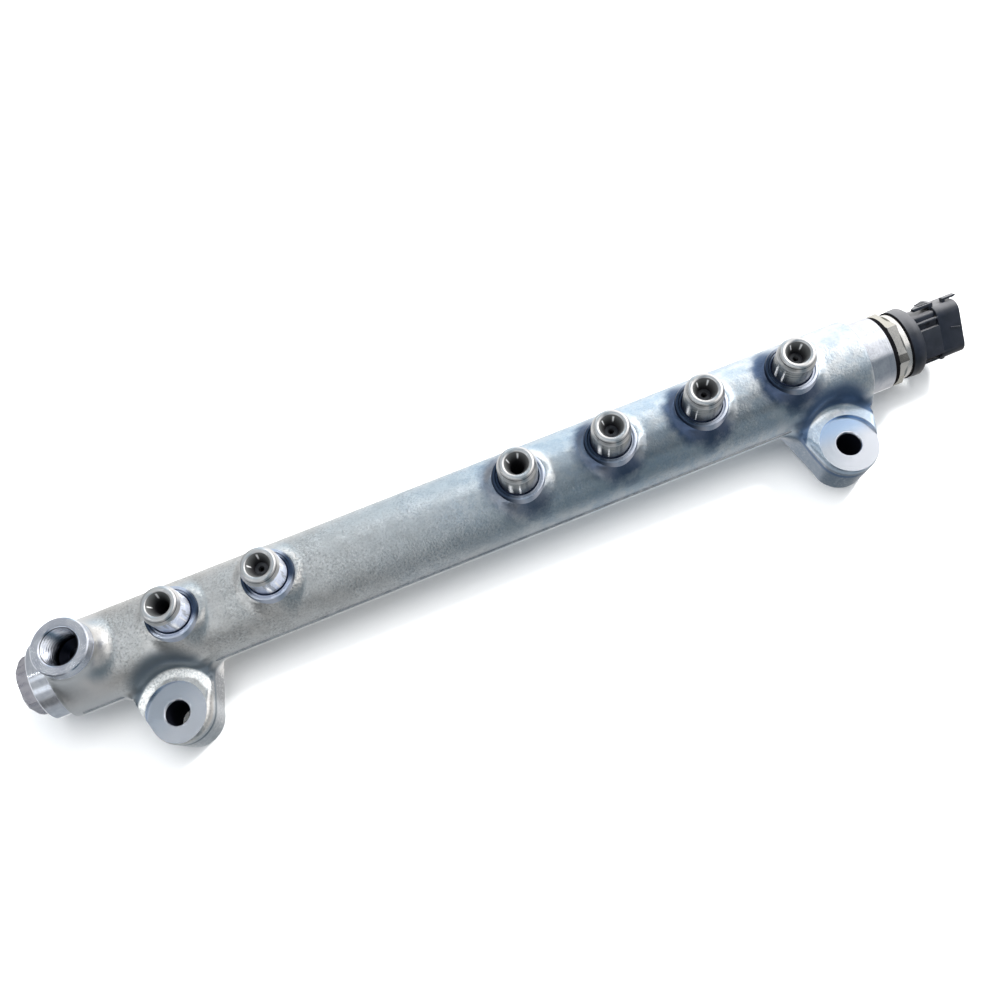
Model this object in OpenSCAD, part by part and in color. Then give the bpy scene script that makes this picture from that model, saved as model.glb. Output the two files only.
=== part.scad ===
// Forged high-pressure fuel rail with six pipe nozzles, two fixing lugs,
// a pressure limiting valve at the left end and a pressure sensor at the right.
// X runs along the rail, Z is up along the nozzles, and the origin lies on the
// seating plane, midway between the two fixing bolts.

/* [Rail tube] */
// Outside diameter of the forged tube
barrel_d = 32.6; // [30:0.1:34]
// From the middle of the bolt pattern to the left end of the tube
barrel_left = 162.5; // [160:0.5:172]
// From the middle of the bolt pattern to the right end of the tube
barrel_right = 144.5; // [143:0.5:156]
// Chamfer round both ends of the tube
barrel_chamfer = 1.2; // [0.4:0.1:2]
// Diameter of the long fuel bore
main_bore_d = 10; // [8:0.1:11]
// Diameter of the turned neck at the valve end
left_neck_d = 28.1; // [26:0.1:30]
// Length of the turned neck at the valve end
left_neck_length = 7.3; // [6:0.1:10]
// Diameter of the turned neck at the sensor end
right_neck_d = 27.9; // [27.2:0.1:30]
// Length of the turned neck at the sensor end
right_neck_length = 10.4; // [8:0.1:14]
// Chamfer on the outer edge of both necks
neck_chamfer = 0.5; // [0.2:0.1:1]
// Height of the trimmed forging flash along the tube
flash_height = 1.8; // [1:0.1:3]
// How far the trimmed flash stands off the tube
flash_proud = 0.35; // [0.2:0.05:0.8]
// Height of the middle of the flash above the tube axis
flash_rise = 0.3; // [-0.5:0.1:1]
// How far the flash ends before the ends of the tube
flash_inset = 3; // [2:0.5:6]

/* [Fixing lugs] */
// Distance between the two bolt axes
bolt_spacing = 257.5; // [252:0.5:262]
// Distance from the bolt axes to the tube axis, seen from above
bolt_offset = 28.5; // [28:0.1:31]
// Height of the tube axis above the seating plane
foot_drop = 19.25; // [18:0.05:22]
// Diameter of the bolt holes
bolt_hole_d = 8.8; // [8.4:0.1:9.4]
// Chamfer at the mouths of the bolt holes
bolt_hole_chamfer = 0.5; // [0.2:0.1:0.8]
// Diameter of the machined spot face under the bolt head
spot_face_d = 21.8; // [20:0.1:22.6]
// Depth of the spot face below the tube axis
spot_face_drop = 1; // [0.5:0.1:2]
// Height of the forged lug top above the tube axis
lug_top = 0.5; // [0:0.1:1]
// Diameter of the round lug nose at its top
lug_d = 23; // [22:0.1:24]
// Draft of the lug walls in degrees
lug_draft = 4.5; // [2:0.5:5]
// Angle at which the lug walls spread towards the tube
lug_flare = 15.5; // [12:0.5:18]
// Plan radius between the lug walls and the tube
lug_fillet = 5; // [3:0.5:6]
// Reach of the lug web under the tube, from the bolt axis
lug_web_reach = 24; // [20:0.5:27]
// Length of the slope that ends the web under the tube
web_slope = 7; // [5:0.5:9]
// Height of the web's end above the seating plane
web_end_height = 4.5; // [3:0.5:6]
// Height of the rounded corners between lug and tube
corner_height = 9; // [6:0.5:12]
// Radius of the clearance forged round each bolt head
head_clearance_r = 15.6; // [15:0.1:16.2]
// Corner radius at the floor of that clearance
head_clearance_fillet = 3; // [1:0.5:4]
// How far the left lug is forged off its bolt axis
left_lug_shift = 1.15; // [0:0.05:1.5]
// How far the right lug is forged off its bolt axis
right_lug_shift = -0.4; // [-1:0.05:1]
// Height of the rough web underside above the machined foot
web_relief = 0.5; // [0.3:0.1:1]

/* [Nozzles] */
// Distance between neighbouring nozzles
port_pitch = 35; // [30:0.5:38]
// From the middle of the bolt pattern to the last nozzle on each side
end_port_x = 116.5; // [114:0.5:122]
// Number of nozzles in the left group
left_ports = 2; // [1:1:3]
// Number of nozzles in the right group
right_ports = 4; // [1:1:4]
// Height of the nozzle tops above the tube axis
port_top = 28.95; // [28:0.05:32]
// Outside diameter of the nozzle thread
port_thread_d = 14; // [13:0.1:15]
// Diameter of the flat rim at the nozzle mouth
port_rim_d = 11.2; // [10:0.1:12]
// Diameter of the sealing cone at the nozzle mouth
port_cone_d = 8.34; // [7:0.1:9]
// Included angle of the sealing cone
port_cone_angle = 60; // [55:1:65]
// Diameter of the drilling under the sealing cone
port_bore_d = 4.8; // [4.4:0.1:5.2]
// Diameter of the narrow drilling into the long bore
port_drill_d = 3; // [2.5:0.1:3.4]
// Height of the turned collar round the nozzle foot
collar_top = 17.7; // [17:0.1:19]
// Diameter of the turned collar
collar_d = 18.66; // [18:0.1:20]
// Bevel on the outer edge of the collar
collar_bevel = 0.35; // [0.2:0.05:0.6]
// Diameter of the sunk ring between collar and thread
relief_d = 16.6; // [16:0.1:17.2]
// Depth of that sunk ring
relief_depth = 0.5; // [0.3:0.1:0.8]
// Spread of the collar wall towards the tube in degrees
collar_spread = 17; // [8:1:20]

/* [Throttles] */
// Diameter of the throttle orifice
orifice_d = 0.9; // [0.6:0.05:1.4]
// Length of a throttle insert
throttle_length = 5; // [4:0.5:7]
// Depth of a throttle insert below the nozzle top
throttle_depth = 5.05; // [4:0.05:6]
// Width of the lead-in cone above the orifice
throttle_lead = 0.6; // [0.3:0.1:1]

/* [Return port] */
// Distance from the left end of the tube to the return port axis
return_inset = 10.3; // [10:0.1:12]
// Outside diameter of the return boss
return_boss_d = 20; // [19:0.1:22]
// Height of the return boss above the tube axis
return_top = 25.9; // [24:0.1:28]
// Height at which the boss begins to spread
return_spread_top = 20; // [18.5:0.1:21]
// Spread of the boss foot in degrees
return_spread = 18; // [10:1:20]
// Bevel on the outer edge of the return boss
return_bevel = 0.4; // [0.2:0.1:0.8]
// Minor diameter of the return thread
return_thread_d = 12.4; // [12:0.1:13]
// Diameter of the countersink at the return thread
return_sink_d = 14.3; // [14:0.1:15]
// Depth of the threaded hole
return_depth = 13; // [11:0.5:14]
// Diameter of the drilling from the return hole to the valve
return_drill_d = 6; // [4:0.1:7]

/* [Limiting valve] */
// Width across flats of the valve head
valve_hex = 19; // [17:0.5:20]
// Turn of the valve head about the rail axis in degrees
valve_hex_roll = 21; // [0:1:59]
// Thickness of the valve head
valve_head = 5.4; // [4:0.1:7]
// Thread diameter of valve and sensor
thread_d = 18; // [17.5:0.1:18.4]
// Pitch of the valve and sensor thread
thread_pitch = 1.5; // [1:0.25:1.5]
// Bevel on the corners of the valve head
valve_hex_bevel = 0.9; // [0.4:0.1:1.2]
// Depth of the undercuts at the ends of the threads
undercut_depth = 0.9; // [0.7:0.1:0.9]
// Width of the chamfer at the mouths of the valve and sensor bores
mouth_chamfer = 0.2; // [0.1:0.05:0.25]
// How far the seal ring's room stands outside the thread's pitch line
valve_ring_room = 0.7; // [0.6:0.05:0.75]
// Length of the valve nose behind the thread
valve_nose = 15.7; // [15.2:0.1:17]
// Outside diameter of the valve nose
valve_nose_d = 13.2; // [12.8:0.1:13.8]
// Length of the valve thread
valve_thread = 8.9; // [7:0.1:10]
// Bore of the valve housing
valve_bore_d = 10; // [9.4:0.1:10.4]
// Diameter of the annular chamber round the nose
chamber_d = 16.2; // [15.4:0.1:16.6]
// Diameter of the seat orifice
seat_orifice_d = 2.2; // [1.6:0.1:2.6]
// Length of the pressed-in seat
seat_length = 5; // [4:0.1:6]
// Diameter of the seat cone at its mouth
seat_cone_d = 4.4; // [3.8:0.1:5]
// Travel of the piston off its seat
piston_lift = 1.2; // [0.6:0.1:1.6]
// Length of the guided part of the piston
piston_guide = 5; // [4:0.1:6]
// Diameter of the piston neck
piston_neck_d = 6; // [5.4:0.1:7]
// Diameter of the piston tail and of the stop pin
piston_tail_d = 4; // [3.4:0.1:4.4]
// Length of the piston tail
piston_tail = 2.4; // [1.5:0.1:3]
// Wire diameter of the valve spring
spring_wire = 1.2; // [0.8:0.1:1.3]
// Mean coil diameter of the valve spring
spring_mean_d = 7.2; // [6.8:0.1:7.6]
// Number of coils of the valve spring
spring_coils = 5.5; // [4:0.5:6]
// Thickness of the stop's flange
stop_flange = 1.5; // [1:0.1:2]
// Thickness of the adjusting shim
shim_thickness = 0.8; // [0.4:0.1:1.2]
// Diameter of the cross holes in the valve nose
cross_hole_d = 2.5; // [2:0.1:3]
// Distance from the piston's guide to the cross holes
cross_hole_inset = 0.6; // [0.4:0.1:1]
// Depth of the three flats that let fuel past the piston's guide
piston_flat = 0.8; // [0.5:0.1:1.2]
// Depth of the bore floor in the valve head, below its outer face
head_floor = 3; // [2.4:0.1:3.4]
// Cord diameter of the valve's seal ring
valve_ring_cord = 1.5; // [1.3:0.1:1.5]

/* [Pressure sensor] */
// Width across flats of the sensor hexagon
sensor_hex = 24; // [23:0.5:25]
// Turn of the sensor hexagon about the rail axis in degrees
sensor_hex_roll = 20.6; // [0:0.1:59]
// Thickness of the sensor hexagon
sensor_hex_length = 3.3; // [3:0.1:5]
// Bevel on the corners of the sensor hexagon
sensor_hex_bevel = 0.8; // [0.4:0.1:1]
// Diameter of the steel collar beyond the hexagon
sensor_collar_d = 24.86; // [23.5:0.1:25.2]
// Visible length of the steel collar
sensor_collar_length = 2; // [1.5:0.1:3]
// Outside diameter of the black seal ring
seal_ring_d = 26.8; // [25:0.1:27.2]
// Thickness of the black seal ring
seal_ring_length = 1.4; // [1:0.1:2]
// Length of the sensor thread
sensor_thread = 11; // [9:0.5:12]
// Diameter of the sensor nose
sensor_nose_d = 13; // [12:0.1:13.6]
// Length of the sensor nose
sensor_nose = 4; // [3:0.1:5]
// Room round the sensor nose
sensor_nose_room = 0.6; // [0.4:0.1:1]
// Diameter of the pressure passage in the sensor
passage_d = 2.6; // [2:0.1:3]
// Inside diameter of the steel cup
cup_d = 19.6; // [19:0.1:20]
// Length of the steel cup hidden in the plastic collar
cup_hidden = 3.4; // [3:0.1:4]
// Height of the cup's floor above the seal ring
cup_floor_height = 0.7; // [0.5:0.1:1]
// Width of the ledge under the circuit board
ledge = 0.8; // [0.6:0.1:1]
// Diameter of the measuring cell
cell_d = 8.4; // [7.5:0.1:9]
// Height of the measuring cell
cell_height = 4; // [3.5:0.1:4.3]
// Thickness of the cell's sensing membrane
membrane = 0.6; // [0.3:0.1:1]
// Thickness of the circuit board
board_thickness = 1.2; // [0.8:0.1:1.6]
// Cord diameter of the cover's seal ring
cover_ring_cord = 1.1; // [0.9:0.1:1.3]

/* [Connector] */
// Roll of the connector about the rail axis in degrees
connector_roll = 42; // [0:1:90]
// Wall of the plastic collar over the steel, at its steel end
cover_wall = 1.57; // [1.2:0.01:2]
// Wall of the plastic collar at its connector end
cover_end_wall = 0.82; // [0.8:0.01:1.4]
// Length of the plastic collar
cover_length = 5.75; // [5:0.05:7]
// Width of the connector shell
shell_w = 20.5; // [20:0.1:22]
// Thickness of the connector shell
shell_t = 13.2; // [12.6:0.1:14]
// Corner radius of the connector shell
shell_r = 4; // [3:0.1:4.5]
// Length of the connector shell
shell_length = 9; // [8:0.1:11]
// Wall thickness of the connector shell
shell_wall = 1.5; // [1.2:0.1:1.8]
// Depth of the socket
socket_depth = 13; // [11:0.1:14]
// Length of the narrow part between collar and shell
waist_length = 9.95; // [9:0.05:12]
// Width of the flat pad on the narrow part
pad_w = 11.1; // [9:0.1:12]
// How far the pad's near edge lies inside the shell's edge
pad_inset = 2.9; // [2.4:0.1:3.4]
// Width of the lower shoulder beside the pad
shoulder_w = 5.4; // [4:0.1:6]
// Drop of that shoulder below the pad
shoulder_drop = 1.6; // [1:0.1:2.4]
// Distance of the rib on the shoulder from the shell's edge
rib_inset = 3.4; // [3:0.1:4]
// Thickness of the rib
rib_t = 0.6; // [0.4:0.1:1]
// Pitch of the three terminals
terminal_pitch = 5; // [4:0.1:5.5]
// Width of a terminal blade
terminal_w = 1.5; // [1:0.1:2]
// Thickness of a terminal blade
terminal_t = 0.64; // [0.5:0.02:0.9]
// Distance of the terminal tips below the shell's edge
terminal_recess = 5.3; // [5:0.1:7]
// Reach of the side arms and of the latch bar from the connector axis
arm_reach = 12.4; // [12:0.1:12.6]
// Width of the side arms and of the latch bar
arm_w = 6.8; // [5:0.1:7.4]
// Thickness of the side arms and of the latch bar
arm_t = 1.2; // [1:0.1:1.4]
// Length of the latch bar on the shell
latch_length = 5; // [4:0.5:6]
// How far the latch bar stands out past the shell's edge
latch_nose = 1.2; // [0.8:0.1:2]

/* [Clearances] */
// Gap between engaged threads at their pitch diameter
thread_gap = 0.03; // [0.01:0.01:0.1]
// Gap round a pressed-in piece
press_gap = 0.01; // [0.005:0.005:0.02]
// Running gap round the piston
running_gap = 0.03; // [0.02:0.01:0.06]
// Axial gap between parts that seat on each other
seat_gap = 0.02; // [0.01:0.01:0.05]
// Gap round seal rings and plastic parts
loose_gap = 0.05; // [0.02:0.01:0.1]
// Gap round pieces that lie free in a bore
wide_gap = 0.25; // [0.15:0.05:0.3]

/* [Hidden] */
$fn = 96;
over = 1;
blend = 0.08;
hex_turn = 0.05;
far = 100;

barrel_r = barrel_d / 2;
main_bore_r = main_bore_d / 2;
lug_r = lug_d / 2;
rail_length = barrel_left + barrel_right + left_neck_length + right_neck_length;
port_x = concat(
    [for (i = [0:left_ports - 1]) -end_port_x + i * port_pitch],
    [for (i = [0:right_ports - 1]) end_port_x - (right_ports - 1 - i) * port_pitch]
);
// The first nozzle of each group takes the pump pipe, and each other one holds a throttle.
throttle_x = [for (i = [0:len(port_x) - 1]) if (i != 0 && i != left_ports) port_x[i]];
cone_depth = (port_cone_d - port_bore_d) / 2 / tan(port_cone_angle / 2);
throttle_top = port_top - throttle_depth;
throttle_foot = throttle_top - throttle_length;
return_x = -barrel_left + return_inset;
pitch_r = thread_d / 2 - 0.3248 * thread_pitch;

// Places along the valve, counted from the end face of the left neck into the rail.
ring_groove_start = 0.6;
ring_groove_end = ring_groove_start + valve_ring_cord + 2 * loose_gap;
counterbore_r = pitch_r + valve_ring_room;
undercut_r = pitch_r - thread_gap - undercut_depth;
valve_thread_start = ring_groove_end;
valve_thread_end = valve_thread_start + valve_thread;
valve_tip = valve_thread_end + valve_nose;
seat_face = valve_tip - seat_length;
seat_cone_end = seat_face + (seat_cone_d - seat_orifice_d) / 2;
piston_cone_start = seat_cone_end + seat_orifice_d / 2 - piston_neck_d / 2 - seat_gap;
piston_tip_r = seat_orifice_d / 2 - 0.3;
piston_tip = seat_cone_end + seat_orifice_d / 2 - piston_tip_r - seat_gap;
piston_guide_end = piston_cone_start - cross_hole_d - 2 * cross_hole_inset;
piston_shoulder = piston_guide_end - piston_guide;
piston_tail_end = piston_shoulder - piston_tail;
stop_pin_end = piston_tail_end - piston_lift - seat_gap;
valve_bore_end = -valve_head + head_floor;
stop_end = valve_bore_end + stop_flange;
shim_end = stop_end + shim_thickness;

// Places along the sensor, counted from the end face of the right neck outwards.
hex_start = seal_ring_length;
hex_end = hex_start + sensor_hex_length;
cover_start = hex_end + sensor_collar_length;
cup_end = cover_start + cup_hidden;
cup_floor = hex_start + cup_floor_height;
board_ledge = cup_floor + cell_height - membrane;
board_top = board_ledge + board_thickness;
cover_end = cover_start + cover_length;
shell_start = cover_end + waist_length;
shell_end = shell_start + shell_length;
socket_floor = shell_end - socket_depth;
sensor_undercut = 1.9;
sensor_thread_end = -sensor_undercut - sensor_thread;
sensor_tip = sensor_thread_end - sensor_nose;
cover_ring_x = cover_start + cup_hidden / 2;
terminal_start = cup_end - ledge;

module rail_frame() translate([0, bolt_offset, foot_drop]) children();
module valve_frame() rail_frame() translate([-barrel_left - left_neck_length, 0, 0]) children();
module sensor_frame() rail_frame() translate([barrel_right + right_neck_length, 0, 0]) children();

// A round bar or cone along X from one place to another
module bar(from, to, r, r_to = undef)
    translate([from, 0, 0]) rotate([0, 90, 0])
        cylinder(h = to - from, r1 = r, r2 = is_undef(r_to) ? r : r_to);

// A tube along X
module tube(from, to, r, bore_r) difference() {
    bar(from, to, r);
    bar(from - over, to + over, bore_r);
}

// A bar along X with chamfered ends
module chamfered_bar(from, to, r, start_chamfer, end_chamfer) {
    if (start_chamfer > 0) bar(from, from + start_chamfer, r - start_chamfer, r);
    bar(from + start_chamfer, to - end_chamfer, r);
    if (end_chamfer > 0) bar(to - end_chamfer, to, r, r - end_chamfer);
}

// A hexagon along X with turned corners, one flat facing up before it is turned
module hexagon(from, to, across, turn, bevel) intersection() {
    rotate([turn, 0, 0]) translate([from, 0, 0]) rotate([0, 90, 0]) rotate([0, 0, 30])
        cylinder(h = to - from, r = across / 2 / cos(30), $fn = 6);
    chamfered_bar(from, to, across / 2 / cos(30) - hex_turn, bevel, bevel);
}

// A seal ring lying round the X axis
module seal_ring(at, mean_r, cord_r)
    translate([at, 0, 0]) rotate([0, 90, 0]) rotate_extrude()
        translate([mean_r, 0]) circle(r = cord_r, $fn = 48);

// Fixing lugs, drawn about the middle of their forged nose with Y towards the tube
function wall_at(y) = (lug_r - blend) / cos(lug_flare) + y * tan(lug_flare);

module lug_wall(side)
    mirror([side < 0 ? 1 : 0, 0, 0]) translate([0, 0, lug_top]) rotate([0, 0, -lug_flare])
        translate([lug_r - 2 * blend, 0, 0]) rotate([0, -lug_draft, 0])
            translate([-2 * far, -far, -far]) cube(2 * far);

module lug_web() intersection() {
    translate([-far / 2, 0, 0]) rotate([90, 0, 90]) linear_extrude(far) polygon([
        [0, web_relief - foot_drop],
        [lug_web_reach - web_slope, web_relief - foot_drop],
        [lug_web_reach, web_end_height - foot_drop],
        [lug_web_reach, lug_top],
        [0, lug_top]
    ]);
    lug_wall(1);
    lug_wall(-1);
}

module lug_nose() {
    height = lug_top + foot_drop;
    translate([0, 0, -foot_drop])
        cylinder(h = height, r1 = lug_r - height * tan(lug_draft), r2 = lug_r);
}

// Corner between a lug wall and the tube, rounded in plan and held to the tube's side
module lug_corner(side) mirror([side < 0 ? 1 : 0, 0, 0]) {
    tube_y = bolt_offset - barrel_r;
    centre_y = tube_y - lug_fillet;
    centre_x = wall_at(centre_y) + lug_fillet / cos(lug_flare);
    inner_x = wall_at(centre_y) - 2 * over;
    inner_y = tube_y + 3 * over;
    intersection() {
        translate([0, 0, lug_top - corner_height]) linear_extrude(corner_height) difference() {
            polygon([
                [inner_x, centre_y + over],
                [centre_x - lug_fillet * cos(lug_flare), centre_y + lug_fillet * sin(lug_flare)],
                [centre_x, tube_y],
                [centre_x, inner_y],
                [inner_x, inner_y]
            ]);
            translate([centre_x, centre_y]) circle(r = lug_fillet + blend);
        }
        translate([0, bolt_offset, 0]) bar(-far, far, barrel_r + lug_fillet * 0.9);
    }
}

module lug(shift) translate([shift, -bolt_offset, 0]) {
    lug_nose();
    lug_web();
    lug_corner(1);
    lug_corner(-1);
}

// The room forged for the bolt head, cut out of the tube's side
module head_clearance(shift) translate([shift, -bolt_offset, 0]) rotate_extrude()
    difference() {
        translate([0, lug_top]) square([head_clearance_r, barrel_r]);
        difference() {
            translate([head_clearance_r - head_clearance_fillet, lug_top - over])
                square([head_clearance_fillet + over, head_clearance_fillet + over]);
            translate([head_clearance_r - head_clearance_fillet, lug_top + head_clearance_fillet])
                circle(r = head_clearance_fillet + blend / 4);
        }
    }

module bolt_cuts() translate([0, -bolt_offset, 0]) {
    translate([0, 0, -spot_face_drop]) cylinder(h = barrel_r, r = spot_face_d / 2);
    translate([0, 0, -foot_drop - over]) cylinder(h = foot_drop + 2 * over, r = bolt_hole_d / 2);
    translate([0, 0, -spot_face_drop - bolt_hole_chamfer])
        cylinder(h = bolt_hole_chamfer, r1 = bolt_hole_d / 2, r2 = bolt_hole_d / 2 + bolt_hole_chamfer);
    translate([0, 0, -foot_drop])
        cylinder(h = bolt_hole_chamfer, r1 = bolt_hole_d / 2 + bolt_hole_chamfer, r2 = bolt_hole_d / 2);
}

// One nozzle with its turned collar, standing on the tube axis
module nozzle() rotate_extrude() {
    rim_r = port_rim_d / 2;
    thread_r = port_thread_d / 2;
    collar_r = collar_d / 2;
    wall_low = main_bore_r + 4 * over;
    relief_r = relief_d / 2;
    polygon([
        [0, wall_low],
        [collar_r + (collar_top - collar_bevel - wall_low) * tan(collar_spread), wall_low],
        [collar_r, collar_top - collar_bevel],
        [collar_r - collar_bevel, collar_top],
        [relief_r, collar_top],
        [relief_r - relief_depth / 2, collar_top - relief_depth],
        [thread_r, collar_top - relief_depth],
        [thread_r, port_top - (thread_r - rim_r)],
        [rim_r, port_top],
        [0, port_top]
    ]);
}

module nozzle_bore(has_throttle) {
    bore_foot = has_throttle ? throttle_foot : main_bore_r;
    cylinder(h = port_top, r = port_drill_d / 2);
    translate([0, 0, bore_foot - (has_throttle ? 0 : over)])
        cylinder(h = port_top - bore_foot + over, r = port_bore_d / 2);
    translate([0, 0, port_top - cone_depth])
        cylinder(h = cone_depth, r1 = port_bore_d / 2, r2 = port_cone_d / 2);
}

module return_boss() rotate_extrude() {
    boss_r = return_boss_d / 2;
    low = main_bore_r + 4 * over;
    polygon([
        [0, low],
        [boss_r + (return_spread_top - low) * tan(return_spread), low],
        [boss_r, return_spread_top],
        [boss_r, return_top - return_bevel],
        [boss_r - return_bevel, return_top],
        [0, return_top]
    ]);
}

module return_bore() {
    thread_r = return_thread_d / 2;
    sink_r = return_sink_d / 2;
    drill_r = return_drill_d / 2;
    floor_z = return_top - return_depth;
    point_height = (thread_r - drill_r) / 2;
    cylinder(h = floor_z, r = drill_r);
    translate([0, 0, floor_z]) cylinder(h = return_depth + over, r = thread_r);
    translate([0, 0, floor_z - point_height]) cylinder(h = point_height, r1 = drill_r, r2 = thread_r);
    translate([0, 0, return_top - (sink_r - thread_r)])
        cylinder(h = sink_r - thread_r, r1 = thread_r, r2 = sink_r);
}

module flash_line() intersection() {
    tube(-barrel_left + flash_inset, barrel_right - flash_inset, barrel_r + flash_proud, barrel_r - over);
    translate([-barrel_left, -barrel_r - over, flash_rise - flash_height / 2])
        cube([barrel_left + barrel_right, 2 * (barrel_r + over), flash_height]);
}

module valve_bore() {
    bar(-over, ring_groove_end, counterbore_r);
    bar(-over, mouth_chamfer, counterbore_r + mouth_chamfer + over, counterbore_r);
    bar(0, valve_thread_end + over / 2, pitch_r);
    bar(valve_thread_end, valve_tip, chamber_d / 2);
}

module sensor_bore() {
    bar(sensor_thread_end - over / 2, over, pitch_r);
    bar(sensor_tip, 0, sensor_nose_d / 2 + sensor_nose_room);
    bar(-mouth_chamfer, over, pitch_r, pitch_r + mouth_chamfer + over);
}

module rail_body() color([0.72, 0.75, 0.80]) {
    difference() {
        union() {
            rail_frame() {
                difference() {
                    union() {
                        chamfered_bar(-barrel_left, barrel_right, barrel_r, barrel_chamfer, barrel_chamfer);
                        flash_line();
                    }
                    translate([-bolt_spacing / 2, 0, 0]) head_clearance(left_lug_shift);
                    translate([bolt_spacing / 2, 0, 0]) head_clearance(right_lug_shift);
                }
                translate([-bolt_spacing / 2, 0, 0]) lug(left_lug_shift);
                translate([bolt_spacing / 2, 0, 0]) lug(right_lug_shift);
                for (x = port_x) translate([x, 0, 0]) nozzle();
                translate([return_x, 0, 0]) return_boss();
            }
            valve_frame() chamfered_bar(0, left_neck_length + over, left_neck_d / 2, neck_chamfer, 0);
            sensor_frame() chamfered_bar(-right_neck_length - over, 0, right_neck_d / 2, 0, neck_chamfer);
        }
        rail_frame() {
            translate([-bolt_spacing / 2, 0, 0]) bolt_cuts();
            translate([bolt_spacing / 2, 0, 0]) bolt_cuts();
            for (x = port_x)
                translate([x, 0, 0]) nozzle_bore(len(search(x, throttle_x)) > 0);
            translate([return_x, 0, 0]) return_bore();
        }
        valve_frame() valve_bore();
        valve_frame() bar(valve_tip - over, rail_length + sensor_tip + over, main_bore_r);
        sensor_frame() sensor_bore();
    }
}

// Throttle insert pressed into a nozzle, with a small lead-in above the orifice
module throttle(index) color([0.55, 0.56, 0.58])
    rail_frame() translate([throttle_x[index], 0, throttle_foot + seat_gap]) difference() {
        cylinder(h = throttle_length, r = port_bore_d / 2 - press_gap);
        translate([0, 0, -over]) cylinder(h = throttle_length + 2 * over, r = orifice_d / 2);
        translate([0, 0, throttle_length - throttle_lead])
            cylinder(h = throttle_lead + over, r1 = orifice_d / 2, r2 = orifice_d / 2 + throttle_lead + over);
    }

module valve_housing() color([0.66, 0.67, 0.69]) valve_frame() difference() {
    union() {
        hexagon(-valve_head, 0, valve_hex, valve_hex_roll, valve_hex_bevel);
        bar(-over, ring_groove_start, counterbore_r - loose_gap);
        bar(0, valve_thread_end, undercut_r);
        bar(valve_thread_start, valve_thread_end - over / 2, pitch_r - thread_gap);
        bar(valve_thread_end - over, valve_tip, valve_nose_d / 2);
    }
    bar(valve_bore_end, valve_tip + over, valve_bore_d / 2);
    for (a = [45:90:315])
        translate([piston_guide_end + cross_hole_inset + cross_hole_d / 2, 0, 0]) rotate([a, 0, 0])
            cylinder(h = valve_nose_d, r = cross_hole_d / 2);
}

module valve_seat() color([0.50, 0.50, 0.52]) valve_frame() difference() {
    bar(seat_face, valve_tip, valve_bore_d / 2 - press_gap);
    bar(seat_face - over, valve_tip + over, seat_orifice_d / 2);
    bar(seat_face, seat_cone_end, seat_cone_d / 2, seat_orifice_d / 2);
}

module valve_piston() color([0.60, 0.60, 0.63]) valve_frame() {
    guide_r = valve_bore_d / 2 - running_gap;
    bar(piston_tail_end, piston_shoulder + over, piston_tail_d / 2);
    difference() {
        bar(piston_shoulder, piston_guide_end, guide_r);
        for (a = [0:120:240]) rotate([a, 0, 0])
            translate([piston_shoulder - over, -guide_r, guide_r - piston_flat])
                cube([piston_guide + 2 * over, 2 * guide_r, piston_flat + over]);
    }
    bar(piston_guide_end - over, piston_cone_start, piston_neck_d / 2);
    bar(piston_cone_start, piston_tip, piston_neck_d / 2, piston_tip_r);
}

// Coil spring swept as rings of points round a helix
module valve_spring() color([0.45, 0.45, 0.47]) valve_frame() {
    sides = 10;
    steps = 20;
    wire_r = spring_wire / 2;
    start = shim_end + wire_r + seat_gap;
    length = piston_shoulder - wire_r - seat_gap - start;
    count = floor(spring_coils * steps);
    rise = length / count;
    points = [
        for (i = [0:count])
            let (a = 360 * i / steps)
            for (j = [0:sides - 1])
                let (b = 360 * j / sides, r = spring_mean_d / 2 + wire_r * cos(b))
                [start + i * rise + wire_r * sin(b), r * cos(a), r * sin(a)]
    ];
    sides_faces = [
        for (i = [0:count - 1])
            for (j = [0:sides - 1])
                let (k = (j + 1) % sides)
                [i * sides + j, (i + 1) * sides + j, (i + 1) * sides + k, i * sides + k]
    ];
    first_cap = [[for (j = [0:sides - 1]) j]];
    last_cap = [[for (j = [sides - 1:-1:0]) count * sides + j]];
    polyhedron(points, concat(sides_faces, first_cap, last_cap));
}

module valve_shim() color([0.62, 0.62, 0.64])
    valve_frame() tube(stop_end, shim_end, valve_bore_d / 2 - wide_gap, piston_tail_d / 2 + wide_gap);

module valve_stop() color([0.58, 0.58, 0.60]) valve_frame() {
    bar(valve_bore_end, stop_end, valve_bore_d / 2 - loose_gap);
    bar(stop_end - over / 2, stop_pin_end, piston_tail_d / 2);
}

module valve_seal_ring() color([0.08, 0.08, 0.08])
    valve_frame() seal_ring(
        (ring_groove_start + ring_groove_end) / 2,
        counterbore_r - loose_gap - valve_ring_cord / 2,
        valve_ring_cord / 2
    );

module sensor_body() color([0.80, 0.79, 0.76]) sensor_frame() difference() {
    union() {
        hexagon(hex_start, hex_end, sensor_hex, sensor_hex_roll, sensor_hex_bevel);
        bar(hex_end - over, cup_end, sensor_collar_d / 2);
        bar(-sensor_undercut - over, hex_start + over / 2, undercut_r);
        bar(sensor_thread_end, -sensor_undercut, pitch_r - thread_gap);
        bar(sensor_tip, sensor_thread_end + over, sensor_nose_d / 2);
    }
    bar(sensor_tip - over, cup_floor + over, passage_d / 2);
    bar(sensor_tip - over, sensor_tip + over, passage_d / 2 + 2 * over, passage_d / 2);
    bar(cup_floor, cup_end + over, cup_d / 2 - ledge);
    bar(board_ledge, cup_end + over, cup_d / 2);
    seal_groove();
}

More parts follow.
